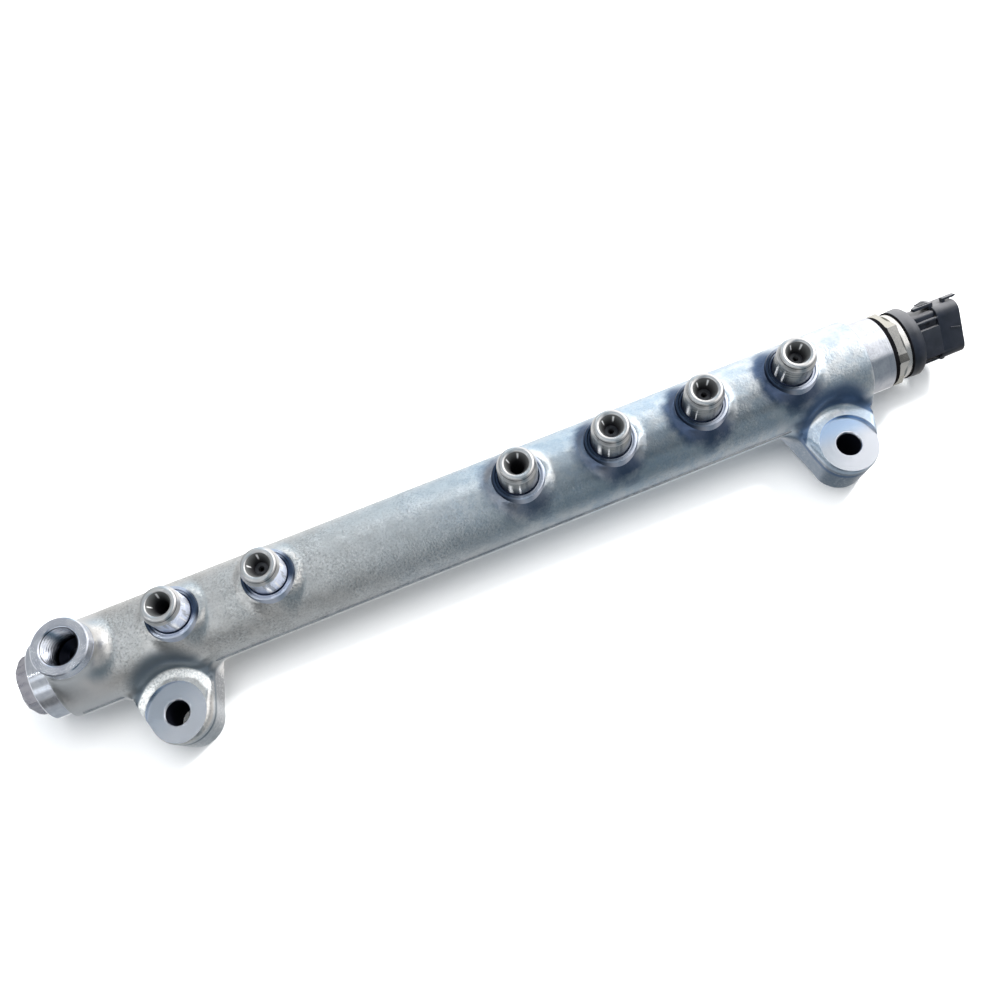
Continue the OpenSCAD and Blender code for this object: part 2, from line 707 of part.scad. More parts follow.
// Groove for the cover's seal ring, hidden under the plastic collar
module seal_groove() tube(
    cover_ring_x - cover_ring_cord / 2 - loose_gap,
    cover_ring_x + cover_ring_cord / 2 + loose_gap,
    sensor_collar_d / 2 + over,
    sensor_collar_d / 2 - cover_ring_cord
);

module sensor_seal_ring() color([0.06, 0.06, 0.06])
    sensor_frame() tube(0, seal_ring_length, seal_ring_d / 2, undercut_r + wide_gap);

module measuring_cell() color([0.70, 0.70, 0.72]) sensor_frame() difference() {
    bar(cup_floor, cup_floor + cell_height, cell_d / 2);
    bar(cup_floor - over, cup_floor + cell_height - membrane, passage_d / 2);
}

module circuit_board() color([0.10, 0.35, 0.18])
    sensor_frame() tube(board_ledge, board_top, cup_d / 2 - wide_gap, cell_d / 2 + 2 * wide_gap);

module contact_carrier() color([0.85, 0.82, 0.72])
    sensor_frame() tube(
        board_top + seat_gap,
        cup_end - loose_gap,
        cup_d / 2 - wide_gap,
        terminal_pitch + terminal_w / 2 + 2 * wide_gap
    );

module cover_seal_ring() color([0.07, 0.07, 0.07])
    sensor_frame() seal_ring(
        cover_ring_x,
        sensor_collar_d / 2 - cover_ring_cord / 2,
        cover_ring_cord / 2 - loose_gap / 2
    );

// A terminal blade, in the connector's own rolled frame
module terminal(place) color([0.80, 0.68, 0.35])
    sensor_frame() rotate([connector_roll, 0, 0])
        translate([terminal_start, place * terminal_pitch - terminal_w / 2, -terminal_t / 2])
            cube([shell_end - terminal_recess - terminal_start, terminal_w, terminal_t]);

// A bar along X with rounded corners, w across Y and t across Z
module rounded_bar(from, to, w, t, r)
    translate([from, 0, 0]) rotate([90, 0, 90]) linear_extrude(to - from) {
        square([w - 2 * r, t], center = true);
        square([w, t - 2 * r], center = true);
        for (y = [-1, 1]) for (z = [-1, 1])
            translate([y * (w / 2 - r), z * (t / 2 - r)]) circle(r = r);
    }

module connector_block(from, to, y_low, y_high, z_low, z_high)
    translate([from, y_low, z_low]) cube([to - from, y_high - y_low, z_high - z_low]);

// Narrow part between collar and shell: a flat pad, a lower shoulder and one rib
module waist() {
    flat_z = shell_t / 2;
    low_z = flat_z - shoulder_drop;
    start = cover_end - over / 2;
    end = shell_start + over / 2;
    near_y = -shell_w / 2 + pad_inset;
    far_y = near_y + pad_w + shoulder_w;
    rib_y = shell_w / 2 - rib_inset;
    connector_block(start, end, near_y, near_y + pad_w, -flat_z, flat_z);
    connector_block(start, end, near_y, far_y, -low_z, low_z);
    connector_block(start, end, rib_y - rib_t, rib_y, 0, flat_z - over / 2);
}

// A strip standing on a narrow side of the shell, under the arms and the latch bar
module side_strip(from, to, y_low)
    connector_block(from, to, y_low, arm_reach, -arm_w / 2, arm_w / 2);

// Arm along one narrow side, joined to the collar and to the shell
module side_arm(side) mirror([0, side < 0 ? 1 : 0, 0]) {
    side_strip(cover_end - over / 2, shell_start + arm_t / 2, arm_reach - arm_t);
    side_strip(shell_start - arm_t / 2, shell_start + arm_t / 2, shell_w / 2 - over);
}

module latch_bar() {
    start = shell_end - latch_length;
    side_strip(start, shell_end + latch_nose, arm_reach - arm_t);
    side_strip(start, start + arm_t, shell_w / 2 - over);
    side_strip(shell_end - arm_t, shell_end, shell_w / 2 - over);
}

module connector_housing() color([0.13, 0.14, 0.17]) sensor_frame() rotate([connector_roll, 0, 0]) {
    difference() {
        union() {
            bar(cover_start + loose_gap, cover_end, sensor_collar_d / 2 + cover_wall,
                sensor_collar_d / 2 + cover_end_wall);
            waist();
            side_arm(1);
            side_arm(-1);
            rounded_bar(shell_start, shell_end, shell_w, shell_t, shell_r);
            latch_bar();
        }
        bar(cover_start - over, cup_end + loose_gap, sensor_collar_d / 2 + loose_gap);
        rounded_bar(socket_floor, shell_end + over, shell_w - 2 * shell_wall, shell_t - 2 * shell_wall,
            shell_r - shell_wall);
        for (place = [-1:1]) connector_block(
            cup_end,
            socket_floor + over,
            place * terminal_pitch - terminal_w / 2 - press_gap,
            place * terminal_pitch + terminal_w / 2 + press_gap,
            -terminal_t / 2 - press_gap,
            terminal_t / 2 + press_gap
        );
    }
}

rail_body();
throttle(0);  // throttle_1
throttle(1);  // throttle_2
throttle(2);  // throttle_3
throttle(3);  // throttle_4
valve_housing();
valve_seat();
valve_piston();
valve_spring();
valve_shim();
valve_stop();
valve_seal_ring();
sensor_body();
sensor_seal_ring();
measuring_cell();
circuit_board();
contact_carrier();
cover_seal_ring();
terminal(-1);  // terminal_1
terminal(0);  // terminal_2
terminal(1);  // terminal_3
connector_housing();
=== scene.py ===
"""Looks of a forged fuel rail: a blasted and zinc plated tube with lugs, turned nozzles, an end valve and a
pressure sensor."""

import math
from types import SimpleNamespace

import bmesh
import bpy
import numpy as np
from mathutils import Matrix, Vector


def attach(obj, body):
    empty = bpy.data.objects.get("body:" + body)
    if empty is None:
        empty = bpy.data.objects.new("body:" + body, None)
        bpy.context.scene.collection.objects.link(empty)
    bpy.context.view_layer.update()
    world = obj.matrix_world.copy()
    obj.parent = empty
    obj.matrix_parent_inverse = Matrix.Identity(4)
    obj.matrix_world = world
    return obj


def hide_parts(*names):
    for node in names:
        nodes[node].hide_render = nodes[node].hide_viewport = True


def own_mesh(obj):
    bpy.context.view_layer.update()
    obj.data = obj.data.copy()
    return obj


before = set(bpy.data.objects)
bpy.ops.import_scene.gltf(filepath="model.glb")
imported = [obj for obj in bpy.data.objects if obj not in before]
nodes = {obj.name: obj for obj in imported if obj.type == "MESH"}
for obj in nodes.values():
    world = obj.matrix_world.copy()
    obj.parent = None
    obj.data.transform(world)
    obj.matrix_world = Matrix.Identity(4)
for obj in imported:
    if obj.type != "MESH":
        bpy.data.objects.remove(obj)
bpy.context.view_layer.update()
scene = bpy.context.scene

# Sizes, in millimetres about the tube's axis.
TUBE_R = 16.3
TUBE_LEFT = -162.5
TUBE_RIGHT = 144.5
TUBE_EDGE = 0.7
MAIN_BORE_R = 5.0
BOLT_X = 128.75
BOLT_Y = 28.5
FOOT_Z = -19.25
NOSE_R = 11.5
LUG_TOP = 0.5
LUG_DRAFT = math.tan(math.radians(4.5))
LUG_FLARE = math.radians(15.5)
LUG_SHIFT = {-1: 1.15, 1: -0.4}
WEB_REACH = 24.0
WEB_UNDER = -18.75
WEB_HEEL = 17.0
WEB_SLOPE = (4, 7)
BLANK_LOW = -21.0
HEAD_ROOM_R = 15.6
HEAD_ROOM_Z = -3.0
HEAD_ROOM_BLEND = 1.5
BOSS_BLEND = 5.5
FOOT_BLEND = 3.2
HOLE_R = 4.4
SPOT_R = 10.9
SPOT_Z = -1.0
PORTS = (-116.5, -81.5, 11.5, 46.5, 81.5, 116.5)
PLAIN_PORTS = (-116.5, 11.5)
COLLAR_R = 9.33
COLLAR_EDGE_Z = 17.35
COLLAR_SPREAD = math.tan(math.radians(17))
COLLAR_SLANT = math.cos(math.radians(17))
RETURN_X = -152.2
RETURN_R = 10.0
RETURN_TOP = 25.9
RETURN_SHOULDER = 21.6
NOZZLE_R = 7.0
NOZZLE_BORE_R = 2.4
DRILLING_R = 2.6
THREAD_PITCH = 1.5
THREAD_DEPTH = 0.22
THREAD_FADE = 4.0
THREAD_LOW, THREAD_HIGH = 20.9, 26.3
THREAD_RINGS = 30
MM = 0.001
TO_ROW = Matrix.Scale(MM, 4) @ Matrix.Translation((0, BOLT_Y, -FOOT_Z))

# Camera.
camera_data = bpy.data.cameras.new("view")
camera_data.sensor_width = 36
camera_data.lens = 36.80
camera_data.shift_x = 0.0007
camera_data.clip_start = 0.02
camera = bpy.data.objects.new("view", camera_data)
scene.collection.objects.link(camera)
camera_turn = Matrix((
    (0.9281791, 0.3665013, -0.0645008),
    (-0.3646768, 0.8612886, -0.3538260),
    (-0.0741238, 0.3519358, 0.9330846),
))
camera.matrix_world = Matrix.Translation((-0.02078, -0.10272, 0.36712)) @ camera_turn.to_4x4()
scene.camera = camera
scene.view_settings.view_transform = "Standard"


# Shader arithmetic.
class Value:
    """A socket of a shader; sums of such values add the nodes that work them out."""

    def __init__(self, finish, socket):
        self.finish, self.socket = finish, socket

    def math(self, operation, *terms):
        return self.finish.math(operation, *terms)

    def __add__(self, other):
        return self.math("ADD", self, other)

    def __sub__(self, other):
        return self.math("SUBTRACT", self, other)

    def __rsub__(self, other):
        return self.math("SUBTRACT", other, self)

    def __mul__(self, other):
        return self.math("MULTIPLY", self, other)

    def __truediv__(self, other):
        return self.math("DIVIDE", self, other)

    def __pow__(self, other):
        return self.math("POWER", self, other)

    def __neg__(self):
        return self.math("MULTIPLY", self, -1.0)

    __radd__, __rmul__ = __add__, __mul__


class Finish:
    """A surface finish made from nodes, or the light of the room round the object."""

    def __init__(self, name, tree=None):
        self.material = None
        if tree is None:
            self.material = bpy.data.materials.new(name)
            self.material.use_nodes = True
            tree = self.material.node_tree
        self.tree = tree
        self.tree.nodes.clear()

    def add(self, kind, settings=None, inputs=None, output=0):
        node = self.tree.nodes.new("ShaderNode" + kind)
        for key, setting in (settings or {}).items():
            if key == "stops":
                self.set_stops(node.color_ramp, setting)
            else:
                setattr(node, key, setting)
        for key, given in (inputs or {}).items():
            if isinstance(given, Value):
                self.tree.links.new(given.socket, node.inputs[key])
            else:
                node.inputs[key].default_value = given
        return Value(self, node.outputs[output]) if len(node.outputs) else node

    def math(self, operation, *terms):
        return self.add("Math", {"operation": operation}, dict(enumerate(terms)))

    @staticmethod
    def set_stops(ramp, stops):
        while len(ramp.elements) < len(stops):
            ramp.elements.new(1.0)
        for element, (place, colour) in zip(ramp.elements, stops):
            element.position = place
            element.color = colour

    def place(self):
        return self.add("TexCoord", output="Object")

    def axes(self, vector):
        node = self.add("SeparateXYZ", None, {0: vector}).socket.node
        return [Value(self, socket) for socket in node.outputs]

    def noise(self, vector, scale, detail=2.0, roughness=0.5):
        settings = {"noise_dimensions": "3D"}
        inputs = {"Vector": vector, "Scale": scale, "Detail": detail, "Roughness": roughness}
        return self.add("TexNoise", settings, inputs)

    def step(self, value, low, high):
        settings = {"interpolation_type": "SMOOTHSTEP", "clamp": True}
        return self.add("MapRange", settings, {0: value, 1: low, 2: high, 3: 0.0, 4: 1.0})

    def span(self, value, low, high, start, end):
        return self.add("MapRange", {"clamp": True}, {0: value, 1: low, 2: high, 3: start, 4: end})

    def mix(self, share, first, second, blend="MIX"):
        settings = {"data_type": "RGBA", "blend_type": blend}
        return self.add("Mix", settings, {0: share, 6: first, 7: second}, output=2)

    def bump(self, height, distance, strength=1.0, below=None):
        inputs = {"Strength": strength, "Distance": distance, "Height": height}
        if below is not None:
            inputs["Normal"] = below
        return self.add("Bump", None, inputs)

    def surface(self, inputs):
        shader = self.add("BsdfPrincipled", None, inputs)
        self.add("OutputMaterial", None, {"Surface": shader})
        return self.material


def grey(level, alpha=1.0):
    return (level, level, level, alpha)


# Room, light and floor.
# The room along the rail, for directions from the far left to the far right: the light of the upper, back
# part and of the lower, front part as (x, brightness, blueness), and the edge between the two as (x, degrees
# from straight up towards the back).
UPPER_LIGHT = (
    (-0.8, 0.35, 0.3), (-0.36, 0.48, 0.2), (-0.28, 0.56, -0.1), (-0.20, 0.66, 0.0), (-0.11, 0.80, 0.2),
    (-0.04, 0.80, 1.2), (0.04, 0.80, 0.8), (0.13, 0.98, 0.7), (0.24, 1.28, 0.8), (0.33, 1.50, -0.1),
    (0.8, 1.15, 0.0),
)
LOWER_LIGHT = (
    (-0.8, 0.25, 0.4), (-0.36, 0.42, 0.2), (-0.22, 0.50, -0.1), (-0.10, 0.40, 0.0), (-0.03, 0.28, 0.9),
    (0.03, 0.20, 1.5), (0.13, 0.12, 1.4), (0.23, 0.09, 2.2), (0.31, 0.13, 1.4), (0.385, 0.24, 0.8),
    (0.42, 0.36, 0.2), (0.8, 0.36, 0.2),
)
LIGHT_EDGE = (
    (-0.8, -60), (-0.30, -72), (-0.11, -68), (-0.04, -50), (0.02, -8), (0.10, 40), (0.18, 50), (0.28, 46),
    (0.34, 14), (0.40, -36), (0.8, -40),
)
EDGE_SOFTNESS = 10
SOFTBOX = Vector((0.72, 0.33, 0.61)).normalized()
SOFTBOX_LIGHT = 3.0
# Light and dark strips that only the left neck mirrors: (degrees, full to, gone at, brightness).
LEFT_STRIPS = ((-3, 3, 9, 1.25), (-40, 4, 12, 1.35), (-84, 8, 20, 0.06))
FLOOR_HALF = 3.0
BACKDROP_R = 2.9


def tinted(bright, blue):
    return (bright * (1 - 0.32 * blue), bright * (1 - 0.10 * blue), bright * (1 + 0.08 * blue), 1)


def make_room():
    world = bpy.data.worlds.new("room")
    scene.world = world
    world.use_nodes = True
    room = Finish("room", world.node_tree)
    towards = room.add("TexCoord", output="Generated")
    x, y, z = room.axes(towards)
    turn = room.math("ARCTAN2", y, z) * (180 / math.pi)

    def along(stops):
        stops = [(place / 2 + 0.5, colour) for place, colour in stops]
        return room.add("ValToRGB", {"stops": stops}, {0: x / 2 + 0.5})

    upper = along([(place, tinted(bright, blue)) for place, bright, blue in UPPER_LIGHT])
    lower = along([(place, tinted(bright, blue)) for place, bright, blue in LOWER_LIGHT])
    edge = along([(place, grey(degrees / 180 + 0.5)) for place, degrees in LIGHT_EDGE]) * 180 - 90
    tone = room.mix(room.step(turn - edge, -EDGE_SOFTNESS, EDGE_SOFTNESS), lower, upper)
    tone = room.mix(room.step(turn, 98, 150), tone, tinted(1.05, 0.0))
    under = room.mix(room.step(x, 0.33, 0.43), tinted(0.46, 0.3), tinted(0.58, -0.1))
    tone = room.mix(room.step(-turn, 95, 140), tone, under)
    near = room.add("VectorMath", {"operation": "DOT_PRODUCT"}, {0: towards, 1: SOFTBOX}, output=1)
    tone = room.mix(room.step(near, 0.935, 0.985), tone, grey(SOFTBOX_LIGHT))
    left = 1 - room.step(x, -0.36, -0.33)
    for degrees, core, reach, bright in LEFT_STRIPS:
        stripe = 1 - room.step(room.math("ABSOLUTE", turn - degrees), core, reach)
        tone = room.mix(left * stripe, tone, tinted(bright, 0.2))
    light = room.add("Background", None, {"Color": tone, "Strength": 1.0})
    room.add("OutputWorld", None, {"Surface": light})


def lamp(name, place, aim, size, power, colour=(1, 1, 1), glossy=True):
    data = bpy.data.lights.new(name, "AREA")
    data.shape = "DISK"
    data.size = size
    data.energy = power
    data.color = colour
    thing = bpy.data.objects.new(name, data)
    scene.collection.objects.link(thing)
    thing.location = place
    thing.rotation_euler = (Vector(aim) - Vector(place)).to_track_quat("-Z", "Y").to_euler()
    thing.visible_glossy = glossy
    return thing


def stage_object(name, bm):
    mesh = bpy.data.meshes.new(name)
    bm.to_mesh(mesh)
    bm.free()
    thing = bpy.data.objects.new(name, mesh)
    scene.collection.objects.link(thing)
    return thing


def make_floor():
    bm = bmesh.new()
    bmesh.ops.create_grid(bm, x_segments=8, y_segments=8, size=FLOOR_HALF)
    floor = stage_object("floor", bm)
    paper = Finish("paper")
    grain = paper.noise(paper.place(), 900.0)
    tone = paper.mix(grain, grey(0.93), grey(0.95))
    matt = {"Base Color": tone, "Roughness": 0.95, "Specular IOR Level": 0.0}
    floor.data.materials.append(paper.surface(matt))
    floor.visible_glossy = False


def make_backdrop():
    """A pale dome that only the camera sees, so views from the sides end in plain white."""
    bm = bmesh.new()
    bmesh.ops.create_uvsphere(bm, u_segments=32, v_segments=16, radius=BACKDROP_R)
    dome = stage_object("backdrop", bm)
    paper = Finish("backdrop_paper")
    tone = paper.mix(paper.noise(paper.place(), 2.0), grey(0.94), grey(0.96))
    glow = {"Base Color": grey(0.0), "Roughness": 1.0, "Specular IOR Level": 0.0}
    dome.data.materials.append(paper.surface({**glow, "Emission Color": tone, "Emission Strength": 1.0}))
    dome.visible_diffuse = dome.visible_glossy = False
    dome.visible_shadow = dome.visible_transmission = False


make_room()
make_floor()
make_backdrop()
lamp("key", (0.70, 0.32, 0.72), (0.0, 0.03, 0.0), 0.16, 9.0, glossy=False)
lamp("fill", (0.0, 0.25, 1.30), (0.0, 0.03, 0.0), 1.2, 14.0, glossy=False)
lamp("spark_left", (-0.55, 0.15, 0.70), (0.0, 0.03, 0.0), 0.06, 0.10)
lamp("spark_back", (0.05, 0.65, 0.70), (0.0, 0.03, 0.0), 0.06, 0.10)


# Finishes.
RIGHT_WEB_X = 0.1285


def forging_masks(f, place, broad, patch):
    """Shares from 0 to 1 that say where on the forging a point lies. The attribute "zones" holds its
    distances from the nearest nozzle's and lug's axis in mm, and the side of the nozzle, 1 at its lower
    left."""
    x, y, z = f.axes(place)
    zones = f.add("Attribute", {"attribute_name": "zones"}, None, output="Vector")
    nozzle_reach, lug_reach, nozzle_side = f.axes(zones)
    across = f.axes(f.add("NewGeometry", output="Normal"))
    at = SimpleNamespace()
    at.right = f.step(x + (broad - 0.5) * 0.12, -0.07, 0.05)
    at.left = 1 - at.right
    at.left_end = 1 - f.step(x, -0.150, -0.138)
    # Round each nozzle's foot on the right half, all but its upper right, where a painted shade goes.
    foot = 1 - f.step(nozzle_reach + (patch - 0.5) * 5.0, 11.5, 16.0)
    at.nozzle_foot = foot * f.step(nozzle_side, -0.5, 0.1) * at.right
    ragged = lug_reach + (patch - 0.5) * 3.0
    rim = f.step(ragged, 11.4, 12.6) * (1 - f.step(ragged, 14.6, 15.6))
    # The left lug's top round its spot face, where a painted highlight goes.
    at.lug_top = rim * f.step(z, 0.0165, 0.0185) * f.step(y, -0.003, 0.003) * at.left
    # The hollow above each lug, where a painted shade goes.
    at.arch = f.step(lug_reach, 14.4, 15.2) * (1 - f.step(lug_reach + (broad - 0.5) * 3.0, 16.5, 20.5))
    at.lug = 1 - f.step(y, 0.0095, 0.0125)
    # Where a painted shade goes: the left lug's right face, and the low web by the right bolt.
    at.right_face = f.step(across[0], 0.70, 0.90) * at.left * at.lug * f.step(y, -0.001, 0.003)
    at.low = 1 - f.step(z, 0.0155, 0.0178)
    near_bolt = 1 - f.step(f.math("ABSOLUTE", x - RIGHT_WEB_X), 0.022, 0.026)
    at.right_web = (1 - f.step(y, 0.016, 0.020)) * at.low * near_bolt
    # The front-facing band of the middle and right tube, where a painted shade goes.
    facing = -across[1]
    front = f.step(facing, 0.08, 0.26) * (1 - f.step(facing, 0.55, 0.72)) * f.step(z, 0.02, 0.024)
    at.front = front * f.step(x, 0.0, 0.05) * (1 - f.step(x, 0.103, 0.125))
    coarse = f.step(broad, 0.38, 0.62) * 0.6 + 0.4
    at.rough = (1 - at.left_end) * (1 - at.arch * 0.8) * coarse * (1 - at.right * 0.6)
    return at


def forged_tone(f, at, place, patch, grain):
    """Cream grey on the left and bluish on the right, speckled by the blasting, with painted shade in the
    hollows.
    """
    cream = f.mix(f.step(patch, 0.38, 0.62), (0.71, 0.70, 0.68, 1), (0.80, 0.79, 0.77, 1))
    blue = f.mix(f.step(patch, 0.38, 0.62), (0.62, 0.71, 0.79, 1), (0.80, 0.84, 0.87, 1))
    tone = f.mix(at.right, cream, blue)
    specks = f.step(f.noise(place, 1200.0, 2.0, 0.7), 0.44, 0.54)
    speckled = f.mix(specks, (0.72, 0.74, 0.74, 1), (0.97, 0.98, 0.96, 1))
    # Painted highlight: the left lug's top made near white, with blasted specks.
    tone = f.mix(at.lug_top * 0.95, tone, speckled)
    # Painted shade: the right lug's upper part a darker blue-grey and the left lug's lower part a darker
    # grey.
    tone = f.mix(at.lug * at.right * (1 - at.low) * 0.85, tone, (0.50, 0.61, 0.74, 1))
    tone = f.mix(at.lug * at.left * at.low * 0.7, tone, (0.42, 0.47, 0.52, 1))
    # Painted shade: the low web by the right bolt and the left lug's right face made near black.
    tone = f.mix(at.right_web * 0.9, tone, (0.10, 0.15, 0.22, 1))
    tone = f.mix(at.right_face * 0.8, tone, (0.10, 0.11, 0.13, 1))
    tone = f.mix(f.step(grain, 0.53, 0.63) * at.rough * 0.8, tone, (0.97, 0.97, 0.96, 1))
    tone = f.mix(f.step(1 - grain, 0.53, 0.63) * at.rough * 0.6, tone, (0.38, 0.38, 0.38, 1))
    tone = f.mix(at.left_end * 0.7, tone, (0.74, 0.74, 0.75, 1))
    # Painted shade on the front-facing band of the tube.
    tone = f.mix(at.front * 0.42, tone, (0.02, 0.04, 0.07, 1))
    # Painted shade: navy round the nozzles' feet, all but their upper right.
    tone = f.mix(at.nozzle_foot * 0.9, tone, (0.07, 0.11, 0.21, 1))
    # Painted shade in the hollows above the lugs.
    hollow = f.mix(at.right, (0.17, 0.21, 0.25, 1), (0.10, 0.17, 0.30, 1))
    return f.mix(at.arch * 0.92, tone, hollow)


def forged_zinc():
    """Blasted and plated forging skin."""
    f = Finish("forged_zinc")
    place = f.place()
    broad = f.noise(place, 55.0, 3.0)
    patch = f.noise(place, 190.0, 4.0, 0.6)
    grain = f.noise(place, 1250.0, 3.0, 0.65)
    at = forging_masks(f, place, broad, patch)
    tone = forged_tone(f, at, place, patch, grain)
    normal = f.bump(broad, 0.0012, 0.25)
    normal = f.bump(patch, 0.0003, 0.35, normal)
    normal = f.bump((grain - 0.5) * (at.rough * 0.9 + 0.1), 0.00024, 1.0, normal)
    gloss = f.span(patch, 0.3, 0.7, 0.34, 0.28) + at.arch * 0.15
    # Half matt on the left lug's top, so that its painted highlight shows white.
    metal = 1 - at.lug_top * 0.5
    return f.surface({"Base Color": tone, "Metallic": metal, "Roughness": gloss, "Normal": normal})


def turned_zinc(name, tint, gloss, markings):
    """Turned and plated steel; its fine rings follow the distance from the turning axis and the height.
    The markings give its tone and where it is matt."""
    f = Finish(name)
    turned = f.add("Attribute", {"attribute_name": "turned"}, None, output="Vector")
    x, y, z = f.axes(turned)
    reach = (x * x + y * y) ** 0.5
    flat = f.add("CombineXYZ", None, {0: reach * 9.0, 1: z * 9.0, 2: 0.0})
    rings = f.noise(flat, 1.0, 2.0)
    cloud = f.noise(f.place(), 260.0, 2.0)
    tone = f.mix(f.step(cloud, 0.35, 0.65), tint[0], tint[1])
    tone, matt = markings(f, x, y, z, reach, tone)
    normal = f.bump(rings, 0.00004, 0.5)
    shine = f.span(rings, 0.3, 0.7, gloss, gloss + 0.06)
    shiny = {"Base Color": tone, "Metallic": 1.0, "Roughness": shine, "Normal": normal}
    if matt is None:
        return f.surface(shiny)
    metal = f.add("BsdfPrincipled", None, shiny)
    dull = f.add("BsdfPrincipled", None, {"Base Color": tone, "Roughness": 1.0, "Specular IOR Level": 0.0})
    f.add("OutputMaterial", None, {"Surface": f.add("MixShader", None, {0: matt, 1: metal, 2: dull})})
    return f.material


def plain_turned(f, x, y, z, reach, tone):
    """No markings, and matt nowhere."""
    return tone, None


def holes_and_faces(f, x, y, z, reach, tone):
    """Blue-grey spot faces, and painted shade: dark bolt holes below them, a dark ring at the return port's
    mouth, and the return port darker with its depth.
    """
    right_half = f.step(f.axes(f.place())[0], -0.02, 0.02)
    spot = f.step(reach, 4.9, 5.1) * (1 - f.step(f.math("ABSOLUTE", z + 1.0), 0.5, 0.9))
    spot = spot * (1 - f.step(reach, 11.2, 11.4))
    # Painted shading across the spot faces: lighter towards one side, and bluer near the tube on the right
    # lug.
    face = f.mix(f.step(x * 0.5 - y * 0.8, -6.0, 6.0), (0.51, 0.57, 0.65, 1), (0.70, 0.74, 0.81, 1))
    upper_blue = f.step(y, 0.0, 8.0) * right_half
    face = f.mix(right_half * 0.3, face, (0.62, 0.63, 0.66, 1))
    face = f.mix(upper_blue * 0.8, face, (0.36, 0.52, 0.76, 1))
    tone = f.mix(spot, tone, face)
    # Painted shade in the bolt holes and deep in the return port, and a painted dark ring at its mouth.
    bolt_hole = (1 - f.step(reach, 4.7, 4.9)) * (1 - f.step(z, -2.0, -1.5)) * f.step(z, -20.0, -19.5)
    port = (1 - f.step(reach, 7.05, 7.15)) * (1 - f.step(z, 14.0, 22.0)) * f.step(z, 2.0, 3.0)
    dark_ring = f.step(reach, 6.0, 6.1) * (1 - f.step(reach, 7.05, 7.12)) * f.step(z, 25.1, 25.25)
    dark_ring = dark_ring * (1 - f.step(z, 25.6, 25.7))
    tone = f.mix(dark_ring * 0.9, tone, (0.02, 0.02, 0.03, 1))
    dark = f.math("MAXIMUM", bolt_hole, port)
    return f.mix(dark, tone, (0.008, 0.009, 0.014, 1)), bolt_hole


def shank_marks(f, x, y, z, reach, turn, place_x, tone):
    """Painted reflections down the shank: grey streaks and two light ones, bright blue-white shanks on the
    left as a painted sheen, and painted shade in the groove under the head.
    """
    round_axis = f.add("CombineXYZ", None, {0: x / reach * 1.5, 1: y / reach * 1.5, 2: z * 0.03})
    streaks = f.noise(round_axis, 2.2, 3.0, 0.6)
    shank = f.step(z, 17.6, 17.9) * (1 - f.step(z, 25.8, 26.6)) * f.step(reach, 6.0, 6.4)
    left_ones = shank * (1 - f.step(place_x, -0.05, -0.02))
    tone = f.mix(shank * 0.8, tone, (0.42, 0.43, 0.42, 1))
    # Painted reflections: dark grey streaks down the shank.
    tone = f.mix(shank * f.step(streaks, 0.48, 0.62) * 0.7, tone, (0.26, 0.27, 0.29, 1))
    # Painted sheen: the left nozzles' shanks bright blue-white, partly matt.
    tone = f.mix(left_ones * (1 - f.step(streaks, 0.50, 0.56) * 0.6), tone, (0.80, 0.85, 0.98, 1))
    matt = left_ones * f.step(turn, -110.0, -70.0) * 0.5
    # Painted highlights: two light streaks at set angles round the shank, partly matt.
    for start, per_metre, width in ((-129, -450, 11), (-100, -450, 3.5)):
        off = f.math("ABSOLUTE", turn - (place_x * per_metre + start)) + (streaks - 0.5) * 6
        light = shank * (1 - f.step(z, 22.0, 26.5)) * (1 - f.step(off, 0.0, width))
        tone = f.mix(light, tone, (0.97, 0.97, 0.98, 1))
        matt = f.math("MAXIMUM", light * 0.85, matt)
    # Painted shade in the groove under the head.
    under_head = f.step(z, 27.75, 27.85) * (1 - f.step(z, 28.1, 28.2)) * f.step(reach, 5.9, 6.0)
    return f.mix(under_head * 0.85, tone, (0.05, 0.05, 0.06, 1)), matt


def collar_marks(f, side, z, reach, place_x, tone):
    """A bluish collar with painted shade on both sides of the left nozzles and on the left of the others,
    and painted shade in the root groove.
    """
    collar = (1 - f.step(z, 17.9, 18.2)) * f.step(reach, 7.1, 7.3)
    both_sides = f.step(f.math("ABSOLUTE", side), 0.70, 0.95)
    dark_side = f.mix(f.step(place_x, -0.04, 0.0), both_sides, 1 - f.step(side, -0.75, 0.0))
    tone = f.mix(collar * 0.6, tone, (0.58, 0.66, 0.84, 1))
    # Painted shade on the collar's sides.
    tone = f.mix(collar * dark_side * 0.97, tone, (0.030, 0.050, 0.090, 1))
    # Painted shade in the root groove below the shank.
    root = (1 - f.step(z, 17.45, 17.6)) * f.step(reach, 6.5, 6.7) * (1 - f.step(reach, 7.4, 7.6))
    return f.mix(root, tone, (0.02, 0.03, 0.06, 1))


def mouth_marks(f, z, reach, turn, place_x, tone, matt):
    """A mouth with painted shade that deepens with its depth, and two painted highlight streaks."""
    inside = 1 - f.step(reach, 4.22, 4.34)
    # Painted shade, darker deeper in the mouth.
    depth = f.span(z, 24.4, 28.4, 0.0, 1.0)
    tone = f.mix(inside, tone, f.mix(depth, (0.05, 0.05, 0.055, 1), (0.20, 0.205, 0.205, 1)))
    matt = inside * (depth * 0.35 + 0.25) + matt
    height = f.step(z, 25.2, 26.4) * (1 - f.step(z, 27.6, 28.3))
    # Painted highlights: two light streaks inside the mouth.
    for start, per_metre, width in ((66, -196, 8), (135, -282, 6)):
        off = f.math("ABSOLUTE", turn - (place_x * per_metre + start))
        streak = inside * (1 - f.step(off, width * 0.3, width)) * height
        tone = f.mix(streak, tone, grey(0.95))
        matt = f.math("MAXIMUM", matt, streak * 0.9)
    return tone, matt


